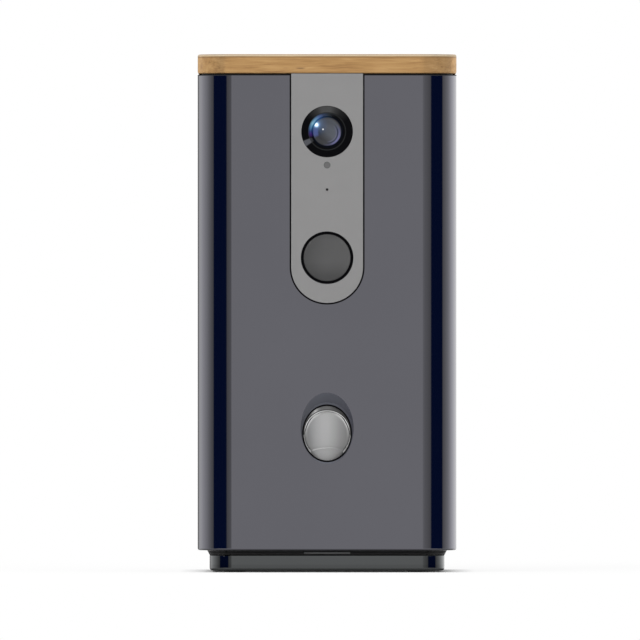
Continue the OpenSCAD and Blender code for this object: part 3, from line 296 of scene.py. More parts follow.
def bamboo(name, look):
    # laminated bamboo: fibre and wide = noise stretched along X, cloud = broad noise, flecks = dark dashes
    m, t, shader, where = startMaterial(name)
    fibre = noise(t, stretched(t, where, (0.05, 1.0, 1.0)), look["fibre"], 4.0, 0.65, 0.3)
    wide = noise(t, stretched(t, where, (0.09, 1.0, 1.0)), look["wide"], 3.0, 0.55, 0.4)
    cloud = noise(t, stretched(t, where, (0.6, 1.0, 1.0)), look["cloud"], 2.0)
    # lamella number = floor((y + offset) / width); its tone is a random number of that number
    y = addNode(t, "ShaderNodeSeparateXYZ", {0: where}).outputs[1]
    strip = calc(t, "FLOOR", calc(t, "DIVIDE", add(t, y, look["stripOffset"]), look["strip"]))
    tone = addNode(t, "ShaderNodeTexWhiteNoise", {"W": strip}, noise_dimensions="1D").outputs["Value"]
    mixed = calc(t, "MULTIPLY_ADD", fibre, 0.5, times(t, wide, 0.5))
    names = ((0.33, "dark"), (0.45, "middle"), (0.55, "pale"), (0.68, "palest"))
    base = rampOf(t, mixed, [(at, look[name]) for at, name in names])
    base = blendColours(t, times(t, tone, 0.22), base, grey(look["stripTone"]))
    base = blendColours(t, spread(t, cloud, 0.56, 0.72, 0.0, 0.35), base, grey(look["dark"]))
    dashes = noise(t, stretched(t, where, (0.06, 1.0, 1.0), shift=(3.0, 0.0, 0.0)), look["dash"], 1.0)
    gate = noise(t, stretched(t, where, (0.5, 1.0, 1.0), shift=(7.0, 2.0, 0.0)), look["gate"], 1.0)
    fleck = both(t, spread(t, dashes, 0.66, 0.74, 0.0, 1.0), spread(t, gate, 0.52, 0.62, 0.0, 1.0))
    base = blendColours(t, times(t, fleck, 0.6), base, grey(look["fleck"]))
    t.links.new(lidPaint(t, base, where), shader.inputs["Base Color"])
    gloss = spread(t, fibre, 0.3, 0.7, look["rough"] - 0.05, look["rough"] + 0.1)
    t.links.new(gloss, shader.inputs["Roughness"])
    shader.inputs["IOR"].default_value = look["ior"]
    bumped(t, shader, calc(t, "SUBTRACT", fibre, times(t, fleck, 0.6)), look["bump"])
    return m


gunmetalLook = {
    "colour": (0.125, 0.1245, 0.141), "grain": 2600.0, "broad": 18.0, "vary": 0.025, "rough": 0.075,
    "roughVary": 0.012, "metal": 1.0, "bump": 0.0000004,
}
lensLook = {
    "colour": (0.004, 0.004, 0.005), "grain": 700.0, "vary": 0.5, "rough": 0.12, "roughVary": 0.03,
    "ior": 1.2, "coat": 0.15, "coatRough": 0.03,
}
plinthLook = {
    "colour": (0.0865, 0.0905, 0.092), "grain": 2600.0, "broad": 18.0, "vary": 0.025, "rough": 0.085,
    "roughVary": 0.012, "metal": 1.0, "bump": 0.0000004,
}
plateLook = {
    "colour": (0.216, 0.214, 0.2135), "grain": 3200.0, "broad": 22.0, "vary": 0.03, "rough": 0.42,
    "metal": 0.35, "bump": 0.000004,
}
glossBlackLook = {
    "colour": (0.002, 0.002, 0.0025), "grain": 900.0, "vary": 0.2, "rough": 0.3, "ior": 1.08,
    "bump": 0.0000005,
}
mattBlackLook = {"colour": (0.007, 0.008, 0.008), "grain": 2500.0, "vary": 0.3, "rough": 0.6, "bump": 0.00001}
rubberLook = {"colour": (0.012, 0.012, 0.012), "grain": 1800.0, "vary": 0.3, "rough": 0.8, "bump": 0.00002}
buttonLook = {
    "colour": (0.0745, 0.0745, 0.075), "grain": 3800.0, "broad": 60.0, "vary": 0.06, "rough": 0.4,
    "metal": 0.3, "bump": 0.000004,
}
windowLook = {"colour": (0.085, 0.085, 0.085), "grain": 2000.0, "vary": 0.1, "rough": 0.2, "bump": 0.000002}
silverLook = {
    "colour": (0.42, 0.42, 0.41), "grain": 3600.0, "vary": 0.03, "rough": 0.34, "metal": 0.8,
    "bump": 0.000003,
}
greyPlasticLook = {"colour": (0.55, 0.55, 0.53), "grain": 1500.0, "vary": 0.05, "rough": 0.5, "bump": 0.00001}
darkPlasticLook = {"colour": (0.07, 0.07, 0.075), "grain": 1500.0, "vary": 0.1, "rough": 0.55, "bump": 0.000015}
orangeLook = {"colour": (0.7, 0.12, 0.02), "grain": 1200.0, "vary": 0.06, "rough": 0.42, "bump": 0.000008}
gearLook = {"colour": (0.75, 0.75, 0.7), "grain": 1300.0, "vary": 0.04, "rough": 0.4, "bump": 0.000006}
binLook = {"colour": (0.8, 0.8, 0.77), "grain": 700.0, "vary": 0.03, "rough": 0.25, "bump": 0.000004}
guideLook = {"colour": (0.115, 0.12, 0.12), "grain": 1500.0, "vary": 0.06, "rough": 0.3, "bump": 0.000002}
siliconeLook = {"colour": (0.3, 0.3, 0.3), "grain": 1600.0, "vary": 0.08, "rough": 0.6, "bump": 0.00001}
steelLook = {
    "colour": (0.6, 0.6, 0.6), "grain": 1500.0, "stretch": (1.0, 1.0, 0.15), "vary": 0.12, "rough": 0.28,
    "bump": 0.000002,
}
canLook = {
    "colour": (0.52, 0.52, 0.5), "grain": 900.0, "stretch": (1.0, 1.0, 0.08), "vary": 0.15, "rough": 0.33,
    "bump": 0.000003,
}
windowGlassLook = {
    "colour": (0.9, 0.93, 1.0), "grain": 400.0, "rough": 0.0, "clear": 1.0, "ior": 1.1,
    "coating": (0.8, 0.85, 1.0),
}
elementLook = {
    "colour": (0.02, 0.03, 0.07), "grain": 500.0, "rough": 0.03, "clear": 0.0, "ior": 1.7,
    "coating": (0.55, 0.7, 1.0),
}
barrelLook = {"colour": (0.012, 0.012, 0.014), "grain": 2500.0, "vary": 0.2, "rough": 0.3, "bump": 0.000004}
boardLook = {
    "tracks": 260.0, "rings": 7.0, "bump": 0.00003, "mask": (0.012, 0.09, 0.045), "track": (0.02, 0.14, 0.06),
    "pad": (0.6, 0.5, 0.25),
}
bambooLook = {
    "fibre": 1500.0, "wide": 420.0, "cloud": 60.0, "strip": 0.0195, "stripOffset": 0.0021, "dash": 900.0,
    "gate": 198.0, "ior": 1.45, "rough": 0.5, "bump": 0.00003, "dark": (0.2, 0.098, 0.03),
    "middle": (0.292, 0.16, 0.053), "pale": (0.342, 0.197, 0.071), "palest": (0.4, 0.243, 0.098),
    "stripTone": (0.34, 0.19, 0.07), "fleck": (0.09, 0.038, 0.014),
}

# places in millimetres on the CAD pieces that paint follows
places = {
    "face": -65.0, "outlet": 72.3, "throw": 42.0, "scoop": 13.5, "hemShade": 11.6, "plateHalf": 18.0,
    "plateEnd": 153.2, "seamShade": 0.8, "lens": 221.2, "button": 157.9, "flapFront": -58.45, "flapFace": 69.1,
    "disc": 69.85, "discRadius": 11.45, "ring": 12.45, "bore": 11.75, "gap": 249.35, "cone": 7.75,
}


def fromThrowLine(t, x, y, z):
    # distance from the throw line = sqrt(x^2 + (v sin a + w cos a)^2)
    # v and w run from the outlet's middle on the face, backwards and upwards
    a = math.radians(places["throw"])
    v = add(t, y, -places["face"])
    w = add(t, z, -places["outlet"])
    across = add(t, times(t, v, math.sin(a)), times(t, w, math.cos(a)))
    return hypot(t, x, across)


# the scoop's tones are painted shade in the recess; the seam, hem and gap colours are painted shadow
shellTones = {
    "scoop": [(-13.0, (0.104, 0.107, 0.122)), (-2.0, (0.098, 0.102, 0.12)), (5.0, (0.087, 0.09, 0.106)),
        (13.0, (0.064, 0.065, 0.08))],
    "scoopDeep": 15.0, "seamShade": (0.003, 0.003, 0.004), "seamFrom": 110.0, "seamDeep": 6.0,
    "hemShade": (0.03, 0.03, 0.034), "hemFrom": 10.0, "gap": (0.008, 0.007, 0.007), "gapHigh": 0.6,
    "dull": {"Metallic": (1.0, 0.0), "Roughness": (0.075, 0.675), "IOR": (1.5, 1.05)},
}


def shellPaint(t, where, colour, shader):
    # the scoop is matt and carries painted shade, a little darker to the right; the seam round the camera
    # plate, the hem at the foot and the gap under the lid are painted shadow, dark
    k = shellTones
    x, y, z = inMillimetres(t, where)
    scoop = both(t, below(t, fromThrowLine(t, x, y, z), places["scoop"]),
                 band(t, y, places["face"] + 0.02, places["face"] + k["scoopDeep"], 0.02, 0.03))
    colour = blendColours(t, scoop, colour, curve(t, x, k["scoop"]))
    down = calc(t, "MINIMUM", add(t, z, -places["plateEnd"]), 0.0)
    edge = calc(t, "SUBTRACT", hypot(t, x, down), places["plateHalf"])
    seamShade = both(t, below(t, edge, places["seamShade"], 0.12), above(t, z, k["seamFrom"]),
                below(t, y, places["face"] + k["seamDeep"]))
    colour = blendColours(t, seamShade, colour, grey(k["seamShade"]))
    colour = blendColours(t, band(t, z, k["hemFrom"], places["hemShade"], 0.03, 0.4), colour, grey(k["hemShade"]))
    gap = band(t, z, places["gap"], places["gap"] + k["gapHigh"], 0.15, 0.03)
    colour = blendColours(t, gap, colour, grey(k["gap"]))
    dull = calc(t, "MAXIMUM", calc(t, "MAXIMUM", scoop, seamShade), gap)
    blendSockets(t, shader, dull, k["dull"])
    return colour


# up is painted shade by height on the plinth
plinthTones = {
    "up": [(0.0, 0.02), (0.5, 0.06), (0.9, 0.4), (1.8, 0.45), (2.2, 0.82), (3.6, 0.86), (4.0, 0.97),
        (8.2, 1.0), (9.0, 0.7)],
    "shinyFrom": 1.8, "shinySoft": 0.8,
    "shiny": {"Metallic": (0.0, 1.0), "Roughness": (0.7, 0.085), "IOR": (1.02, 1.5)},
}


def plinthPaint(t, where, colour, shader):
    # painted shade: darker and matt towards the rounded foot of the plinth, which sees only the table
    z = inMillimetres(t, where)[2]
    shiny = above(t, z, plinthTones["shinyFrom"], plinthTones["shinySoft"])
    blendSockets(t, shader, shiny, plinthTones["shiny"])
    return tinted(t, colour, curve(t, z, plinthTones["up"]))


neckTones = {"up": [(8.0, 0.075), (9.0, 0.075), (9.5, 0.054), (9.9, 0.024), (10.4, 0.034), (12.0, 0.04)]}


def neckPaint(t, where, colour, shader):
    # painted light: the flare at the foot of the neck catches a little light from the plinth: colour + up(z)
    return plus(t, colour, curve(t, inMillimetres(t, where)[2], neckTones["up"]))


# across is painted reflection on the lid's front: darker round corners, pale painted highlights at their ends
# lines are (low, high, share, colour)
lidTones = {
    "cornerFrom": -44.0, "cornerSoft": 10.0,
    "across": [(-66.0, 1.45), (-64.3, 1.24), (-62.0, 1.05), (-58.0, 0.9), (-54.0, 0.75), (-52.2, 0.78),
        (-50.8, 0.98), (-46.0, 1.0), (46.0, 1.0), (49.5, 0.84), (60.0, 0.82), (61.8, 0.92), (63.2, 1.4),
        (66.0, 1.6)],
    "lines": [(258.2, 258.9, 0.4, (0.1, 0.05, 0.02)), (259.0, 259.7, 0.7, (0.5, 0.44, 0.32))],
}


def lidPaint(t, base, where):
    # painted reflection: the round corners are darker and their ends pale with painted highlights; a dark line
    # and a pale one run under the top edge
    x, y, z = inMillimetres(t, where)
    corner = below(t, y, lidTones["cornerFrom"], lidTones["cornerSoft"])
    base = blendColours(t, corner, base, tinted(t, base, curve(t, x, lidTones["across"])))
    for low, high, share, tone in lidTones["lines"]:
        base = blendColours(t, both(t, band(t, z, low, high, 0.2), corner, share), base, grey(tone))
    return base


# across and up are painted shade on the button cap
buttonTones = {
    "across": [(-12.0, 0.66), (-6.0, 0.84), (-1.0, 0.98), (12.0, 1.02)],
    "up": [(-12.0, 0.52), (-9.0, 0.62), (-6.0, 0.8), (-2.0, 0.97), (9.0, 0.93), (12.0, 0.72)],
}


def buttonPaint(t, where, colour, shader):
    # painted shade: the cap darkens to the left and to the bottom: colour * across(x) * up(z)
    x, y, z = inMillimetres(t, where)
    z = add(t, z, -places["button"])
    fade = tinted(t, curve(t, x, buttonTones["across"]), curve(t, z, buttonTones["up"]))
    return tinted(t, colour, fade)


def roundLens(t, where):
    # x, y and z in millimetres, z from the lens's middle, with the distance and the turn round that middle
    x, y, z = inMillimetres(t, where)
    z = add(t, z, -places["lens"])
    return x, y, z, hypot(t, x, z), turnOf(t, x, z)


# radii in millimetres and angles in degrees from the top, positive to the right
# sheen, streak, line and glow are painted reflections and a painted highlight on the black bezel
bezelTones = {
    "frontDeep": 1.6, "sheenFrom": 9.6,
    "sheen": [(-60.0, 0.0), (-48.0, 0.003), (-26.0, 0.022), (-14.0, 0.042), (8.0, 0.046), (22.0, 0.022),
        (36.0, 0.008), (60.0, 0.0)],
    "streakReflection": (0.06, 0.062, 0.07), "streakTurn": (-125.0, -111.5), "streakFrom": 7.6,
    "line": (0.022, 0.024, 0.024), "lineAt": (9.0, 9.45), "lineShare": 0.75, "glowFrom": 8.5, "glowTo": 9.6,
    "glowShare": 0.75,
}


def bezelPaint(t, where, colour, shader):
    # painted reflections: a grey sheen at the top, a paler streak lower left, a fine pale line at the edge of
    # the cone as a painted highlight, and a blue glow in it
    k = bezelTones
    x, y, z, r, turn = roundLens(t, where)
    front = below(t, y, places["face"] + k["frontDeep"])
    sheen = both(t, above(t, r, k["sheenFrom"], 0.5), front)
    light = blendColours(t, sheen, grey(0.0), curve(t, turn, k["sheen"]))
    streakReflection = both(t, band(t, turn, *k["streakTurn"], 2.0), above(t, r, k["streakFrom"], 0.3), front)
    light = blendColours(t, streakReflection, light, grey(k["streakReflection"]))
    line = both(t, band(t, r, *k["lineAt"], 0.25), front, k["lineShare"])
    light = blendColours(t, line, light, grey(k["line"]))
    glow = both(t, spread(t, r, k["glowFrom"], k["glowTo"], k["glowShare"], 0.0), front)
    light = blendColours(t, glow, light, coneReflection(t, turn))
    return plus(t, colour, light)


coneTones = {
    "glow": [(-120.0, (0, 0, 0)), (-111.0, (0, 0, 0)), (-104.0, (0.035, 0.012, 0.09)),
        (-97.0, (0.045, 0.02, 0.16)), (-88.0, (0.03, 0.055, 0.18)), (-72.0, (0.1, 0.25, 0.42)),
        (-60.0, (0.23, 0.47, 0.62)), (-48.0, (0.16, 0.34, 0.52)), (-30.0, (0.09, 0.16, 0.36)),
        (-14.0, (0.04, 0.06, 0.12)), (6.0, (0.025, 0.032, 0.04)), (18.0, (0.008, 0.009, 0.012)),
        (30.0, (0, 0, 0))],
}


def coneReflection(t, turn):
    # painted reflection: blue light in the cone round the lens, strongest at 60 degrees left of the top:
    # glow(turn)
    return curve(t, turn, coneTones["glow"])


# the glass tones and rims are painted reflections, lit is painted light, and the spot's haze and the dot are
# painted highlights
# each rim is (inner, outer, soft inside, soft outside, share, colour)
# each shade is (right, up, near, far, least), a painted shade along right * x + up * z
lensTones = {
    "glass": [(0.0, (0.03, 0.031, 0.032)), (3.5, (0.031, 0.029, 0.028)), (4.6, (0.032, 0.028, 0.026)),
        (6.0, (0.044, 0.044, 0.046)), (6.6, (0.05, 0.049, 0.052)), (7.1, (0.036, 0.038, 0.045)),
        (8.0, (0.01, 0.01, 0.013))],
    "lit": (0.068, 0.075, 0.09), "litFrom": -5.0, "litTo": 4.0, "litRadius": 6.4,
    "shades": [(-0.6, -0.8, 0.8, 4.4, 0.56), (0.5, 0.85, 2.0, 4.7, 0.72)], "spotAt": (-5.38, 3.4),
    "highlightHaze": [(0.0, (0.95, 0.97, 0.98)), (0.45, (0.82, 0.93, 0.97)), (0.9, (0.34, 0.55, 0.8)),
        (1.35, (0.085, 0.17, 0.32)), (1.95, (0.018, 0.055, 0.13)), (2.7, (0.005, 0.03, 0.075)),
        (3.9, (0.0, 0.012, 0.038)), (6.0, (0.0, 0.002, 0.006)), (9.0, (0, 0, 0))],
    "rimMiddle": (0.0, -0.55), "rightTurn": (62.0, 172.0, 36.0, 26.0),
    "leftTurn": (-112.0, -74.0, 16.0, 16.0),
    "lower": [(-130.0, 0.0), (-108.0, 0.25), (-88.0, 0.6), (-62.0, 1.0), (-32.0, 0.9), (-12.0, 0.3),
        (20.0, 0.0)],
    "dark": (5.05, 5.65, 0.3, 0.4, 0.75, (0.012, 0.015, 0.045)),
    "wide": (5.75, 6.75, 0.4, 0.7, 0.95, (0.115, 0.118, 0.25)),
    "thin": (4.4, 4.85, 0.3, 0.4, 0.55, (0.1, 0.1, 0.17)),
    "side": (4.6, 7.0, 0.8, 0.5, 0.7, (0.062, 0.085, 0.23)), "highlightDot": (0.8, 0.82, 0.85), "dotAt": (-2.05, 1.12),
    "dotRadius": 0.3, "glassRadius": 7.1,
    "outside": {"Coat Weight": (lensLook["coat"], 0.0), "IOR": (lensLook["ior"], 1.01)},
    "black": (0.002, 0.003, 0.006), "deep": (0.12, 0.3, 0.42), "glowTurn": (-125.0, 28.0),
    "ridge": [(7.5, 0.75), (8.2, 1.0), (9.0, 0.6)], "grain": 0.35,
}


def lensPaint(t, where, colour, shader):
    # grey glass painted with reflections: a bright painted highlight spot and a blue haze upper left, violet
    # rims lower right, and a dark ring round it
    k = lensTones
    x, y, z, r, turn = roundLens(t, where)
    back = turnOf(t, times(t, x, -1.0), times(t, z, -1.0))
    # painted reflection: the glass's tone by distance from the middle
    glass = curve(t, r, k["glass"])
    # painted light: paler to the right inside the glass
    lit = both(t, spread(t, x, k["litFrom"], k["litTo"], 0.0, 1.0), below(t, r, k["litRadius"], 0.8))
    glass = blendColours(t, lit, glass, grey(k["lit"]))
    # painted shade: darker to the lower left and a little to the upper right
    for right, up, near, far, least in k["shades"]:
        along = add(t, times(t, x, right), times(t, z, up))
        glass = scaled(t, glass, spread(t, along, near, far, 1.0, least))
    # painted highlight: a bright spot whose haze fades away from it
    highlightHaze = curve(t, fromPoint(t, x, z, k["spotAt"]), k["highlightHaze"])
    glass = blendColours(t, 1.0, glass, highlightHaze, "SCREEN")
    # painted reflections: a dark, a wide violet and a thin pale rim round a slightly lower middle, and a blue
    # one on the left
    low = fromPoint(t, x, z, k["rimMiddle"])
    right, left = band(t, turn, *k["rightTurn"]), band(t, turn, *k["leftTurn"])
    lower = curve(t, back, k["lower"])
    for rim, out, part in (("dark", low, right), ("wide", low, lower), ("thin", low, right), ("side", r, left)):
        inner, outer, soft, fade, share, tone = k[rim]
        mask = both(t, band(t, out, inner, outer, soft, fade), part, share)
        glass = blendColours(t, mask, glass, grey(tone))
    # painted highlight: a tiny pale dot
    highlightDot = below(t, fromPoint(t, x, z, k["dotAt"]), k["dotRadius"], 0.35)
    glass = blendColours(t, highlightDot, glass, grey(k["highlightDot"]))
    # outside the glass: black, or deep blue as a painted reflection, then the cone's blue light as a painted
    # reflection
    outside = above(t, r, k["glassRadius"], 0.3)
    blendSockets(t, shader, outside, k["outside"])
    deep = tinted(t, coneReflection(t, turn), grey(k["deep"]))
    glass = blendColours(t, outside, glass, plus(t, grey(k["black"]), deep))
    glow = both(t, above(t, r, places["cone"], 0.3), band(t, turn, *k["glowTurn"], 4.0))
    glass = blendColours(t, glow, glass, tinted(t, coneReflection(t, turn), curve(t, r, k["ridge"])))
    return plus(t, glass, tinted(t, colour, grey(k["grain"])))


# lip is a painted highlight to the left of the crescent, darker to the right; gain and cheeks brighten the
# silver with painted light where the bore shades it; dark is a painted shade line
ringTones = {
    "over": 0.03, "wallDeep": 0.3, "cheeks": 1.9, "dark": 0.06, "darkFrom": 66.0, "silverFrom": 58.0,
    "lipFrom": 72.0, "lipOut": 0.5,
    "lip": [(-10.0, 0.05), (-8.5, 0.16), (-7.0, 0.34), (-5.9, 0.46), (-5.2, 0.36), (-4.4, 0.19), (-3.0, 0.12),
        (1.0, 0.12), (3.0, 0.085), (5.0, 0.065), (10.0, 0.05)],
    "gain": [(-10.0, 1.55), (-6.0, 1.3), (0.0, 1.0), (6.0, 1.3), (10.0, 1.55)],
}


def ringPaint(t, where, colour, shader):
    # cheeks and wall go on with the flap's silver and its rim, that is painted shade and a painted highlight,
    # brightened with painted light where the bore shades them; then a dark painted shade line and a pale
    # crescent on the lip with a painted highlight to the left
    k = ringTones
    x, y, z = inMillimetres(t, where)
    line = fromThrowLine(t, x, y, z)
    out = fromPoint(t, x, z, (0.0, places["disc"]))
    front = places["flapFront"]
    cheeks = both(t, below(t, line, places["ring"] + k["over"]),
                  band(t, y, front - k["over"], front + k["over"], 0.02), below(t, z, places["flapFace"]))
    wall = both(t, below(t, line, places["bore"] + k["over"]), below(t, y, front + k["wallDeep"]))
    silver = both(t, wall, below(t, out, places["discRadius"], 0.2), above(t, z, k["silverFrom"], 4.0))
    lip = both(t, wall, above(t, out, places["discRadius"] + k["lipOut"], 0.3),
               above(t, z, k["lipFrom"], 2.0))
    dark = both(t, wall, above(t, z, k["darkFrom"], 6.0))
    colour = blendColours(t, dark, colour, grey(k["dark"]))
    colour = blendColours(t, lip, colour, curve(t, x, k["lip"]))
    colour = blendColours(t, silver, colour, tinted(t, rimHighlight(t, x, z), curve(t, x, k["gain"])))
    return blendColours(t, cheeks, colour, tinted(t, silverShade(t, x, z), grey(k["cheeks"])))


# rim is the painted highlight round the rim, across and up are the painted shade of the crowned silver, and the
# shade values lift the rim with painted light
flapTones = {
    "rimWide": 1.65, "rimFrom": 62.5, "shadeFrom": 1.4, "shadeTo": 0.8, "shadeAbove": 70.0, "shadeGain": 0.9,
    "brightest": 0.76, "matt": {"Metallic": (0.8, 0.0), "Roughness": (0.34, 0.6)},
    "rim": [(0.0, 0.38), (16.0, 0.4), (30.0, 0.52), (45.0, 0.56), (66.0, 0.63), (80.0, 0.42), (95.0, 0.36),
        (115.0, 0.32), (130.0, 0.32)],
    "rimRight": [(-12.0, 1.0), (0.0, 1.0), (6.0, 0.82), (12.0, 0.76)],
    "across": [(-12.0, 0.32), (-9.5, 0.34), (-7.5, 0.39), (-5.5, 0.44), (-2.5, 0.475), (0.5, 0.465),
        (3.5, 0.4), (6.5, 0.33), (9.0, 0.3), (12.0, 0.28)],
    "up": [(54.0, 0.86), (60.5, 0.86), (62.5, 0.8), (63.5, 0.9), (68.0, 0.97), (74.0, 1.0)],
}


def rimHighlight(t, x, z):
    # painted highlight on the rim: rim(angle from the top) * rimRight(x)
    turn = calc(t, "ABSOLUTE", turnOf(t, x, add(t, z, -places["disc"])))
    return tinted(t, curve(t, turn, flapTones["rim"]), curve(t, x, flapTones["rimRight"]))


def silverShade(t, x, z):
    # painted shade of the crowned flap: across(x) * up(z)
    return tinted(t, curve(t, x, flapTones["across"]), curve(t, z, flapTones["up"]))


def flapPaint(t, where, colour, shader):
    # silver with painted shade that darkens it to both sides, and a painted highlight on the matt rim round the
    # upper part
    k = flapTones
    x, y, z = inMillimetres(t, where)
    out = fromPoint(t, x, z, (0.0, places["disc"]))
    edge = places["discRadius"]
    rim = both(t, above(t, out, edge - k["rimWide"], 0.4), above(t, z, k["rimFrom"], 5.0))
    blendSockets(t, shader, rim, k["matt"])
    # painted light: the outermost part lies in the ring's shade, so it is painted paler: the rim's painted
    # highlight * (1 + lift), at most brightest
    shadeLift = both(t, spread(t, out, edge - k["shadeFrom"], edge - k["shadeTo"], 0.0, k["shadeGain"]),
                  above(t, z, k["shadeAbove"], 5.0))
    tone = scaled(t, rimHighlight(t, x, z), add(t, shadeLift, 1.0))
    most = (k["brightest"], k["brightest"], k["brightest"])
    tone = addNode(t, "ShaderNodeVectorMath", {0: tone, 1: most}, operation="MINIMUM").outputs[0]
    return blendColours(t, rim, silverShade(t, x, z), tone)


finishes = {
    "gunmetal": moulded("gunmetal_lacquer", gunmetalLook, shellPaint),
    "satin_grey": moulded("satin_grey_plate", plateLook),
    "black_trim": moulded("gloss_black_trim", glossBlackLook),
    "bezel": moulded("gloss_black_bezel", glossBlackLook, bezelPaint),
    "ring": moulded("painted_outlet_ring", glossBlackLook, ringPaint),
    "plinth": moulded("plinth_lacquer", plinthLook, plinthPaint),
    "neck": moulded("neck_lacquer", glossBlackLook, neckPaint),
    "flap": moulded("painted_flap", silverLook, flapPaint),
    "lens_glass": clearGlass("coated_window", windowGlassLook),
    "lens_black": moulded("blackened_barrel", barrelLook),
    "circuit_board": solderMask("green_solder_mask", boardLook),
    "steel": drawnMetal("plated_steel", steelLook),
    "motor_steel": drawnMetal("drawn_motor_can", canLook),
    "sensor_window": moulded("smoked_sensor_window", windowLook),
    "black_rubber": moulded("soft_black_rubber", rubberLook),
    "button_grey": moulded("satin_button", buttonLook, buttonPaint),
    "switch_black": moulded("switch_black_plastic", mattBlackLook),
    "silver": moulded("satin_silver_paint", silverLook),
    "light_grey": moulded("light_grey_plastic", greyPlasticLook),
    "orange": moulded("orange_acetal", orangeLook),
    "white_gear": moulded("natural_acetal", gearLook),
    "bin_white": moulded("off_white_bin", binLook),
    "frame_grey": moulded("dark_grey_frame", darkPlasticLook),
    "speaker_black": moulded("speaker_black", mattBlackLook),
    "foam": moulded("closed_cell_foam", rubberLook),
    "base_black": moulded("matt_black_base", mattBlackLook),
    "light_guide": moulded("frosted_light_guide", guideLook),
    "bamboo": bamboo("oiled_bamboo", bambooLook),
    "lid_black": moulded("lid_black_plastic", mattBlackLook),
    "silicone": moulded("grey_silicone", siliconeLook),
}
slotOf = {s["node"]: s["material_slot"] for s in frame["record"]["subparts"]}
slotOf.update({"camera_bezel": "bezel", "outlet_ring": "ring", "base_plinth": "plinth", "base_neck": "neck"})
for name, piece in cad.items():
    piece.data.materials.clear()
    piece.data.materials.append(finishes[slotOf[name]])
cad["lens_element"].data.materials[0] = clearGlass("coated_front_element", elementLook)
print("finishes made:", len(finishes))

# pieces made here in place of CAD pieces, and the ends of the neck


def solidFrom(name, points, faces, material, sharp=35.0):
    # closed mesh from points in millimetres
    # its faces are turned outwards by the sign of the volume = sum(a . (b x c)) / 6
    mesh = bpy.data.meshes.new(name)
    mesh.from_pydata((np.asarray(points) / 1000.0).tolist(), [], faces)
    mesh.update()
    at = np.zeros(len(mesh.vertices) * 3)
    mesh.vertices.foreach_get("co", at)
    at = at.reshape(-1, 3)
    mesh.calc_loop_triangles()
    tri = np.zeros(len(mesh.loop_triangles) * 3, dtype=np.int64)
    mesh.loop_triangles.foreach_get("vertices", tri)
    a, b, c = at[tri.reshape(-1, 3)].transpose(1, 0, 2)
    if np.einsum("ij,ij->i", a, np.cross(b, c)).sum() < 0:
        mesh.flip_normals()
    mesh.shade_smooth()
    mesh.set_sharp_from_angle(angle=math.radians(sharp))
    mesh.materials.append(material)
    piece = bpy.data.objects.new(name, mesh)
    bpy.context.scene.collection.objects.link(piece)
    return piece


def latheFaces(rings, around, first, last):
    # quads between rings of points, and fans to the first and last point, which are poles
    k = np.arange(around)
    n = (k + 1) % around
    faces = []
    for low in range(0, (rings - 1) * around, around):
        high = low + around
        faces += np.stack([low + k, low + n, high + n, high + k], 1).tolist()
    faces += np.stack([np.full(around, first), n, k], 1).tolist()
    low = (rings - 1) * around
    faces += np.stack([np.full(around, last), low + k, low + n], 1).tolist()
    return faces


lensSize = {
    "height": 221.2, "face": -65.0, "radius": 7.35, "bulge": 20.0, "seat": 1.5, "flange": 8.55, "back": 2.5,
    "groove": 0.12, "grooveWide": 0.2, "slope": 0.02, "bevel": 0.1, "rings": 40, "around": 160,
}


def lensDome(size, material):
    # turned about a line along Y: depth(r) = seat - (sqrt(b^2 - r^2) - sqrt(b^2 - rim^2)), b the bulge's radius
    # round the glass a fine groove, then a flat flange with bevelled edges
    bulge, rim, seat, back = size["bulge"], size["radius"], size["seat"], size["back"]
    flange, bevel = size["flange"], size["bevel"]
    r = np.linspace(0.0, rim, size["rings"] + 1)[1:]
    depth = seat - (np.sqrt(bulge * bulge - r * r) - math.sqrt(bulge * bulge - rim * rim))
    first, last = rim + size["slope"], rim + size["grooveWide"]
    r = np.concatenate([r, [first, last, last + size["slope"], flange - bevel, flange, flange, flange - bevel]])
    low = seat + size["groove"]
    depth = np.concatenate([depth, [low, low, seat, seat, seat + bevel, back - bevel, back]])
    a = np.linspace(0.0, 2 * math.pi, size["around"], endpoint=False)
    x = np.outer(r, np.sin(a))
    z = np.outer(r, np.cos(a)) + size["height"]
    y = np.repeat(depth[:, None], size["around"], 1) + size["face"]
    points = np.stack([x, y, z], 2).reshape(-1, 3)
    top = seat - (bulge - math.sqrt(bulge * bulge - rim * rim))
    poles = [[0.0, size["face"] + top, size["height"]], [0.0, size["face"] + back, size["height"]]]
    count = len(points)
    faces = latheFaces(len(r), size["around"], count, count + 1)
    piece = solidFrom("lens_dome", np.concatenate([points, poles]), faces, material)
    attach(piece, "housing")
    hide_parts("lens_window")


flapSize = {"front": -58.45, "thick": 1.6, "middle": 69.3, "radius": 11.3,
            "topMiddle": 69.1, "topRadius": 11.55, "topBlend": 1.6,
            "boreRadius": 11.68, "throw": 42.0, "throwY": -65.0, "throwZ": 72.3,
            "pin": 54.003, "footHalf": 7.4, "footWide": 8.1, "footHigh": 7.5,
            "crown": 80.0, "chinRadius": 20.4, "chinTop": 8.6, "chinStep": 0.3, "chinSoft": 0.3,
            "rim": 0.9, "rimDeep": 0.22, "rimFrom": 62.0, "rimTo": 68.0, "leastRim": 0.1, "leastDeep": 0.05,
            "backBevel": 0.15, "notchHalf": 10.6, "notchTop": 55.75,
            "pinY": -59.0, "barrel": 1.8, "bore": 1.06, "barrelFrom": 2.4, "barrelTo": 6.3,
            "around": 360, "rings": 60, "rimSteps": 8, "tubeAround": 48}


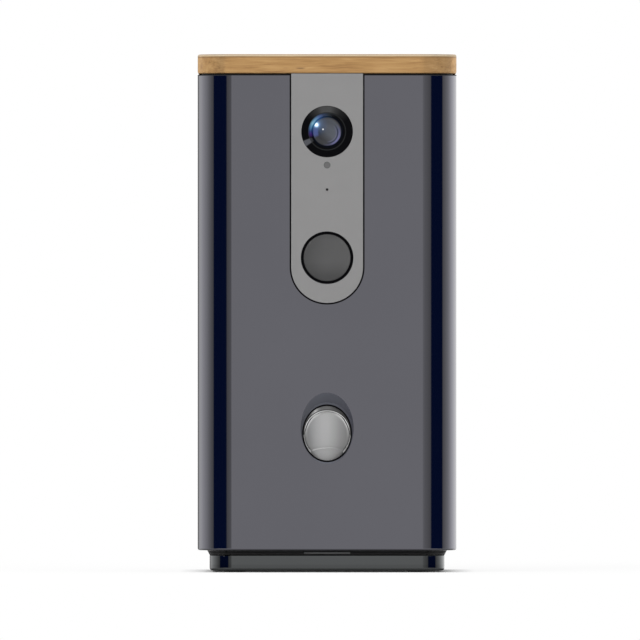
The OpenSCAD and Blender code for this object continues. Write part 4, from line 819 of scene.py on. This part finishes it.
def flapOutline(size, a):
    # distance from the middle to the edge in direction a: the circle, or the foot where that reaches further
    # below it is cut off straight over the spring
    dx, dz = np.sin(a), np.cos(a)
    down = np.maximum(-dz, 1e-9)
    high = size["middle"] - size["pin"]
    slope = (size["footWide"] - size["footHalf"]) / size["footHigh"]
    side = (size["footHalf"] + slope * high) / (np.abs(dx) + slope * down + 1e-9)
    foot = np.where(dz < -0.05, np.minimum(high / down, side), 0.0)
    foot = np.where(size["middle"] + foot * dz > size["pin"] + size["footHigh"], 0.0, foot)
    # above the middle it grows to the top circle: t = sqrt(topRadius^2 - (lift sin a)^2) - lift cos a
    lift = size["middle"] - size["topMiddle"]
    top = np.sqrt(size["topRadius"] ** 2 - (lift * dx) ** 2) - lift * dz
    share = np.clip(size["radius"] * dz / size["topBlend"], 0.0, 1.0)
    reach = np.maximum(size["radius"] + (top - size["radius"]) * share, foot)
    off = np.abs(np.degrees(np.arctan2(dx, -dz)))
    return np.where(off < size["notchHalf"], (size["middle"] - size["notchTop"]) / down, reach)


def boreReach(size, a, depth):
    # distance t to the bore in direction a, from (t sin a)^2 + (c (high + t cos a))^2 = boreRadius^2
    # c = cos(throw), and high is the height of the flap's middle over the throw line at that depth
    throw = math.radians(size["throw"])
    c = math.cos(throw)
    high = size["middle"] - size["throwZ"] + (size["front"] + depth - size["throwY"]) * math.tan(throw)
    square = np.sin(a) ** 2 + (c * np.cos(a)) ** 2
    linear = 2 * c * c * high * np.cos(a)
    constant = (c * high) ** 2 - size["boreRadius"] ** 2
    return (-linear + np.sqrt(linear * linear - 4 * square * constant)) / (2 * square)


def flapFront(size, x, z):
    # depth of the front = x^2 / (2 crown) + chinStep (3 s^2 - 2 s^3), s from 0 to 1 across the chin's arc
    low = size["pin"] + size["chinTop"] - size["chinRadius"]
    out = np.hypot(x, z - low) - size["chinRadius"]
    s = np.clip(out / size["chinSoft"] + 0.5, 0.0, 1.0)
    return x * x / (2 * size["crown"]) + size["chinStep"] * s * s * (3 - 2 * s)


def flapShell(size, material):
    # rings from the middle out to the edge, then the side and the flat back
    # over the rim the front turns back by a quarter ellipse: (inner + wide sin t, deep (1 - cos t))
    a = np.linspace(0.0, 2 * math.pi, size["around"], endpoint=False)
    outline = flapOutline(size, a)
    # the edge stays inside the bore at the rim's depth, which hangs on the edge, so it takes three rounds
    reach = outline
    for attempt in range(3):
        edge = flapFront(size, reach * np.sin(a), size["middle"] + reach * np.cos(a))
        reach = np.minimum(outline, boreReach(size, a, edge + size["rimDeep"]))
    # the rim is round on the upper part only
    share = (size["middle"] + reach * np.cos(a) - size["rimFrom"]) / (size["rimTo"] - size["rimFrom"])
    share = np.clip(share, 0.0, 1.0)[None, :]
    wide = size["leastRim"] + (size["rim"] - size["leastRim"]) * share
    deep = size["leastDeep"] + (size["rimDeep"] - size["leastDeep"]) * share
    inner = reach[None, :] - wide
    turn = np.linspace(0.0, math.pi / 2, size["rimSteps"] + 1)[1:, None]
    face = inner * np.linspace(0.0, 1.0, size["rings"] + 1)[1:, None]
    r = np.concatenate([face, inner + wide * np.sin(turn)])
    back = np.zeros_like(r)
    back[size["rings"]:] = deep * (1 - np.cos(turn))
    y = flapFront(size, r * np.sin(a), r * np.cos(a) + size["middle"]) + back
    side = np.minimum(reach, boreReach(size, a, size["thick"]))
    bevel = size["backBevel"]
    r = np.concatenate([r, side[None, :], (side - bevel)[None, :]])
    rear = np.repeat([[size["thick"] - bevel], [size["thick"]]], len(a), 1)
    y = np.concatenate([y, rear]) + size["front"]
    x = r * np.sin(a)
    z = r * np.cos(a) + size["middle"]
    points = np.stack([x, y, z], 2).reshape(-1, 3)
    count = len(points)
    middle = flapFront(size, np.array([0.0]), np.array([size["middle"]]))[0]
    poles = [[0.0, size["front"] + depth, size["middle"]] for depth in (middle, size["thick"])]
    faces = latheFaces(len(r), size["around"], count, count + 1)
    points = np.concatenate([points, poles])
    # two knuckles on the pin: tubes with a square ring of four circles each
    around = size["tubeAround"]
    turn = np.linspace(0.0, 2 * math.pi, around, endpoint=False)
    k = np.arange(around)
    n = (k + 1) % around
    for side in (-1.0, 1.0):
        base = len(points)
        ends = [(side * size["barrelFrom"], size["barrel"]), (side * size["barrelTo"], size["barrel"]),
                (side * size["barrelTo"], size["bore"]), (side * size["barrelFrom"], size["bore"])]
        for at, radius in ends:
            y, z = size["pinY"] + radius * np.cos(turn), size["pin"] + radius * np.sin(turn)
            points = np.concatenate([points, np.stack([np.full(around, at), y, z], 1)])
        for i in range(4):
            low, high = base + i * around, base + (i + 1) % 4 * around
            quad = np.stack([low + k, low + n, high + n, high + k], 1)
            faces += (quad if side > 0 else quad[:, ::-1]).tolist()
    piece = solidFrom("flap_shell", points, faces, material, 50.0)
    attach(piece, "flap")
    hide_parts("outlet_flap")


# levels are (z, half width, half depth)
neckSize = {
    "levels": [(8.62, 59.0, 57.9), (8.8, 59.1, 57.1), (9.2, 59.3, 56.5), (9.8, 59.6, 56.1),
        (10.4, 59.9, 55.95), (10.98, 60.4, 55.95)],
    "corner": 9.0, "around": 24,
}


def neckEnds(size, material):
    # two blocks lofted between the levels; each outline is two quarter circles of the corner's radius
    a = np.linspace(0.0, math.pi / 2, size["around"])
    r = size["corner"]
    count = 2 * size["around"]
    points, faces = [], []
    for side in (-1.0, 1.0):
        base = len(points)
        for z, wide, deep in size["levels"]:
            x = np.concatenate([wide - r + r * np.cos(a[::-1]), wide - r + r * np.cos(a)])
            y = np.concatenate([-(deep - r + r * np.sin(a[::-1])), deep - r + r * np.sin(a)])
            points += np.stack([side * x, y, np.full(count, z)], 1).tolist()
        k = np.arange(count)
        n = (k + 1) % count
        last = base + (len(size["levels"]) - 1) * count
        quads = [np.stack([low + k, low + n, low + count + n, low + count + k], 1)
                 for low in range(base, last, count)]
        for f in (np.concatenate(quads), (base + k[::-1])[None, :], (last + k)[None, :]):
            faces += (f if side > 0 else f[:, ::-1]).tolist()
    piece = solidFrom("neck_ends", points, faces, material)
    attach(piece, "housing")


neckEnds(neckSize, finishes["neck"])
lensDome(lensSize, moulded("coated_lens_dome", lensLook, lensPaint))
flapShell(flapSize, finishes["flap"])
print("lens and flap made")

# camera, floor and light

cameraLook = {
    "mmPerPixel": 0.502, "middlePixel": 320.0, "axisPixel": 327.1, "groundPixel": 572.3, "lens": 1200.0,
    "sensor": 36.0, "picture": 640.0, "facePlane": -0.058,
}


def photoCamera(look):
    # distance = picture width in metres * lens / sensor width, so the face plane keeps the photograph's scale
    wide = look["picture"] * look["mmPerPixel"] / 1000.0
    away = wide * look["lens"] / look["sensor"]
    data = bpy.data.cameras.new("photoCamera")
    data.lens = look["lens"]
    data.sensor_width = look["sensor"]
    data.clip_end = 60.0
    camera = bpy.data.objects.new("photoCamera", data)
    camera.location = ((look["middlePixel"] - look["axisPixel"]) * look["mmPerPixel"] / 1000.0,
                       look["facePlane"] - away,
                       (look["groundPixel"] - look["middlePixel"]) * look["mmPerPixel"] / 1000.0)
    camera.rotation_euler = (math.pi / 2, 0.0, 0.0)
    bpy.context.scene.collection.objects.link(camera)
    bpy.context.scene.camera = camera


floorLook = {"half": 7.0, "colour": 0.93, "under": 0.0585, "contact": 0.016, "glow": 0.86, "reach": 0.5}


def paleFloor(look):
    # a square at z = 0; the camera sees share + (1 - share) * lit colour, and reflections pass through it
    # share is 0 under the object, glow at its edge and 1 further out, so that only its own shadow shows
    h = look["half"]
    mesh = bpy.data.meshes.new("floor")
    mesh.from_pydata([(-h, -h, 0), (h, -h, 0), (h, h, 0), (-h, h, 0)], [], [(0, 1, 2, 3)])
    floor = bpy.data.objects.new("floor", mesh)
    bpy.context.scene.collection.objects.link(floor)
    m = bpy.data.materials.new("pale_floor")
    m.use_nodes = True
    t = m.node_tree
    t.nodes.clear()
    where = addNode(t, "ShaderNodeTexCoord").outputs["Object"]
    cloud = noise(t, where, 3.0, 3.0)
    colour = blendColours(t, cloud, grey(look["colour"] - 0.01), grey(look["colour"] + 0.01))
    lit = addNode(t, "ShaderNodeBsdfDiffuse", {"Color": colour})
    glow = addNode(t, "ShaderNodeEmission", {"Color": grey(1.0), "Strength": 1.0})
    clear = addNode(t, "ShaderNodeBsdfTransparent")
    path = addNode(t, "ShaderNodeLightPath")
    x, y, z = addNode(t, "ShaderNodeSeparateXYZ", {0: where}).outputs
    far = calc(t, "MAXIMUM", calc(t, "ABSOLUTE", x), calc(t, "ABSOLUTE", y))
    out = calc(t, "SUBTRACT", far, look["under"])
    share = spread(t, out, 0.0, look["contact"], 0.0, look["glow"])
    share = add(t, share, spread(t, out, look["contact"], look["reach"], 0.0, 1.0 - look["glow"]))
    seen = addNode(t, "ShaderNodeMixShader", {0: times(t, path.outputs["Is Camera Ray"], share),
                                              1: lit.outputs[0], 2: glow.outputs[0]})
    glossy = {0: path.outputs["Is Glossy Ray"], 1: seen.outputs[0], 2: clear.outputs[0]}
    addNode(t, "ShaderNodeOutputMaterial", {"Surface": addNode(t, "ShaderNodeMixShader", glossy).outputs[0]})
    mesh.materials.append(m)


deepBlue = (0.008, 0.024, 0.115)
# what shiny surfaces see round the horizon: (azimuth, positive to the right; brightness or colour)
studioLook = {
    "horizon": [(-180, 0.1), (-158, 0.22), (-150, 0.6), (-142, 1.2), (-124, 1.6), (-108, 1.4), (-92, 1.05),
        (-84, 0.8), (-70, 0.44), (-64.5, 0.36), (-64, deepBlue), (-17, deepBlue), (-16.5, 0.34), (-12, 0.4),
        (-5, 0.62), (-1.8, 1.0), (1.8, 1.0), (6, 0.85), (11, 0.6), (24, 0.44), (28, 0.38), (28.5, deepBlue),
        (71.5, deepBlue), (72, 0.42), (80, 0.58), (97, 1.0), (108, 1.5), (120, 1.95), (136, 2.0), (160, 1.3),
        (180, 1.0)],
    "bandHalf": 5.0, "bandFade": 9.0, "above": 1.0, "below": 0.92,
    "softbox": {"azimuth": -33.0, "elevation": 20.0, "half": 5.0, "edge": 3.0, "strength": 12.0},
    "diffuse": 0.80,
}


def studioWorld(look):
    # camera rays see white, diffuse rays an even light, and shiny surfaces a horizon that fades above and below
    world = bpy.data.worlds.new("studio")
    bpy.context.scene.world = world
    world.use_nodes = True
    t = world.node_tree
    t.nodes.clear()
    d = addNode(t, "ShaderNodeTexCoord").outputs["Generated"]
    xyz = addNode(t, "ShaderNodeSeparateXYZ", {0: d})
    x, y, z = xyz.outputs
    azimuth = turnOf(t, x, times(t, y, -1.0))
    elevation = times(t, calc(t, "ARCSINE", z), 180 / math.pi)
    half = 2.0  # ramp colours are stored at half strength, so that none is over 1
    stops = [((a + 180) / 360, tuple(c / half for c in grey(v))) for a, v in look["horizon"]]
    horizon = scaled(t, rampOf(t, calc(t, "DIVIDE", add(t, azimuth, 180.0), 360.0), stops), half)
    edge = look["bandHalf"]
    off = spread(t, calc(t, "ABSOLUTE", elevation), edge, edge + look["bandFade"], 0.0, 1.0)
    plain = blendColours(t, above(t, elevation, 0.0, 2.0), grey(look["below"]), grey(look["above"]))
    seen = blendColours(t, off, horizon, plain)
    box = look["softbox"]
    a, e = math.radians(box["azimuth"]), math.radians(box["elevation"])
    aim = (math.sin(a) * math.cos(e), -math.cos(a) * math.cos(e), math.sin(e))
    facing = addNode(t, "ShaderNodeVectorMath", {0: d, 1: aim}, operation="DOT_PRODUCT").outputs["Value"]
    away = times(t, calc(t, "ARCCOSINE", facing), 180 / math.pi)
    lamp = spread(t, away, box["half"] + box["edge"], box["half"], 0.0, 1.0)
    seen = blendColours(t, lamp, seen, grey(box["strength"]))
    shiny = addNode(t, "ShaderNodeBackground", {0: seen, 1: 1.0})
    soft = addNode(t, "ShaderNodeBackground", {0: grey(1.0), 1: look["diffuse"]})
    white = addNode(t, "ShaderNodeBackground", {0: grey(1.0), 1: 1.0})
    path = addNode(t, "ShaderNodeLightPath")
    through = calc(t, "MAXIMUM", path.outputs["Is Glossy Ray"], path.outputs["Is Transmission Ray"])
    mixed = addNode(t, "ShaderNodeMixShader", {0: through, 1: soft.outputs[0], 2: shiny.outputs[0]})
    camera = {0: path.outputs["Is Camera Ray"], 1: mixed.outputs[0], 2: white.outputs[0]}
    addNode(t, "ShaderNodeOutputWorld", {"Surface": addNode(t, "ShaderNodeMixShader", camera).outputs[0]})


lampLooks = [{"name": "keyLamp", "at": (-1.1, -1.6, 1.3), "aim": (0.0, 0.0, 0.13), "size": 1.3, "watts": 26.0},
             {"name": "fillLamp", "at": (1.5, -1.2, 0.7), "aim": (0.0, 0.0, 0.13), "size": 1.3, "watts": 9.0}]


def softLamps(looks):
    # square area lamps turned to their aims; shiny surfaces see the studio in their place
    for look in looks:
        data = bpy.data.lights.new(look["name"], "AREA")
        data.energy = look["watts"]
        data.size = look["size"]
        lamp = bpy.data.objects.new(look["name"], data)
        lamp.location = look["at"]
        lamp.rotation_euler = (Vector(look["aim"]) - Vector(look["at"])).to_track_quat("-Z", "Y").to_euler()
        lamp.visible_glossy = False
        bpy.context.scene.collection.objects.link(lamp)


photoCamera(cameraLook)
paleFloor(floorLook)
studioWorld(studioLook)
softLamps(lampLooks)
bpy.context.scene.view_settings.view_transform = "Standard"
print("camera, floor and light set")
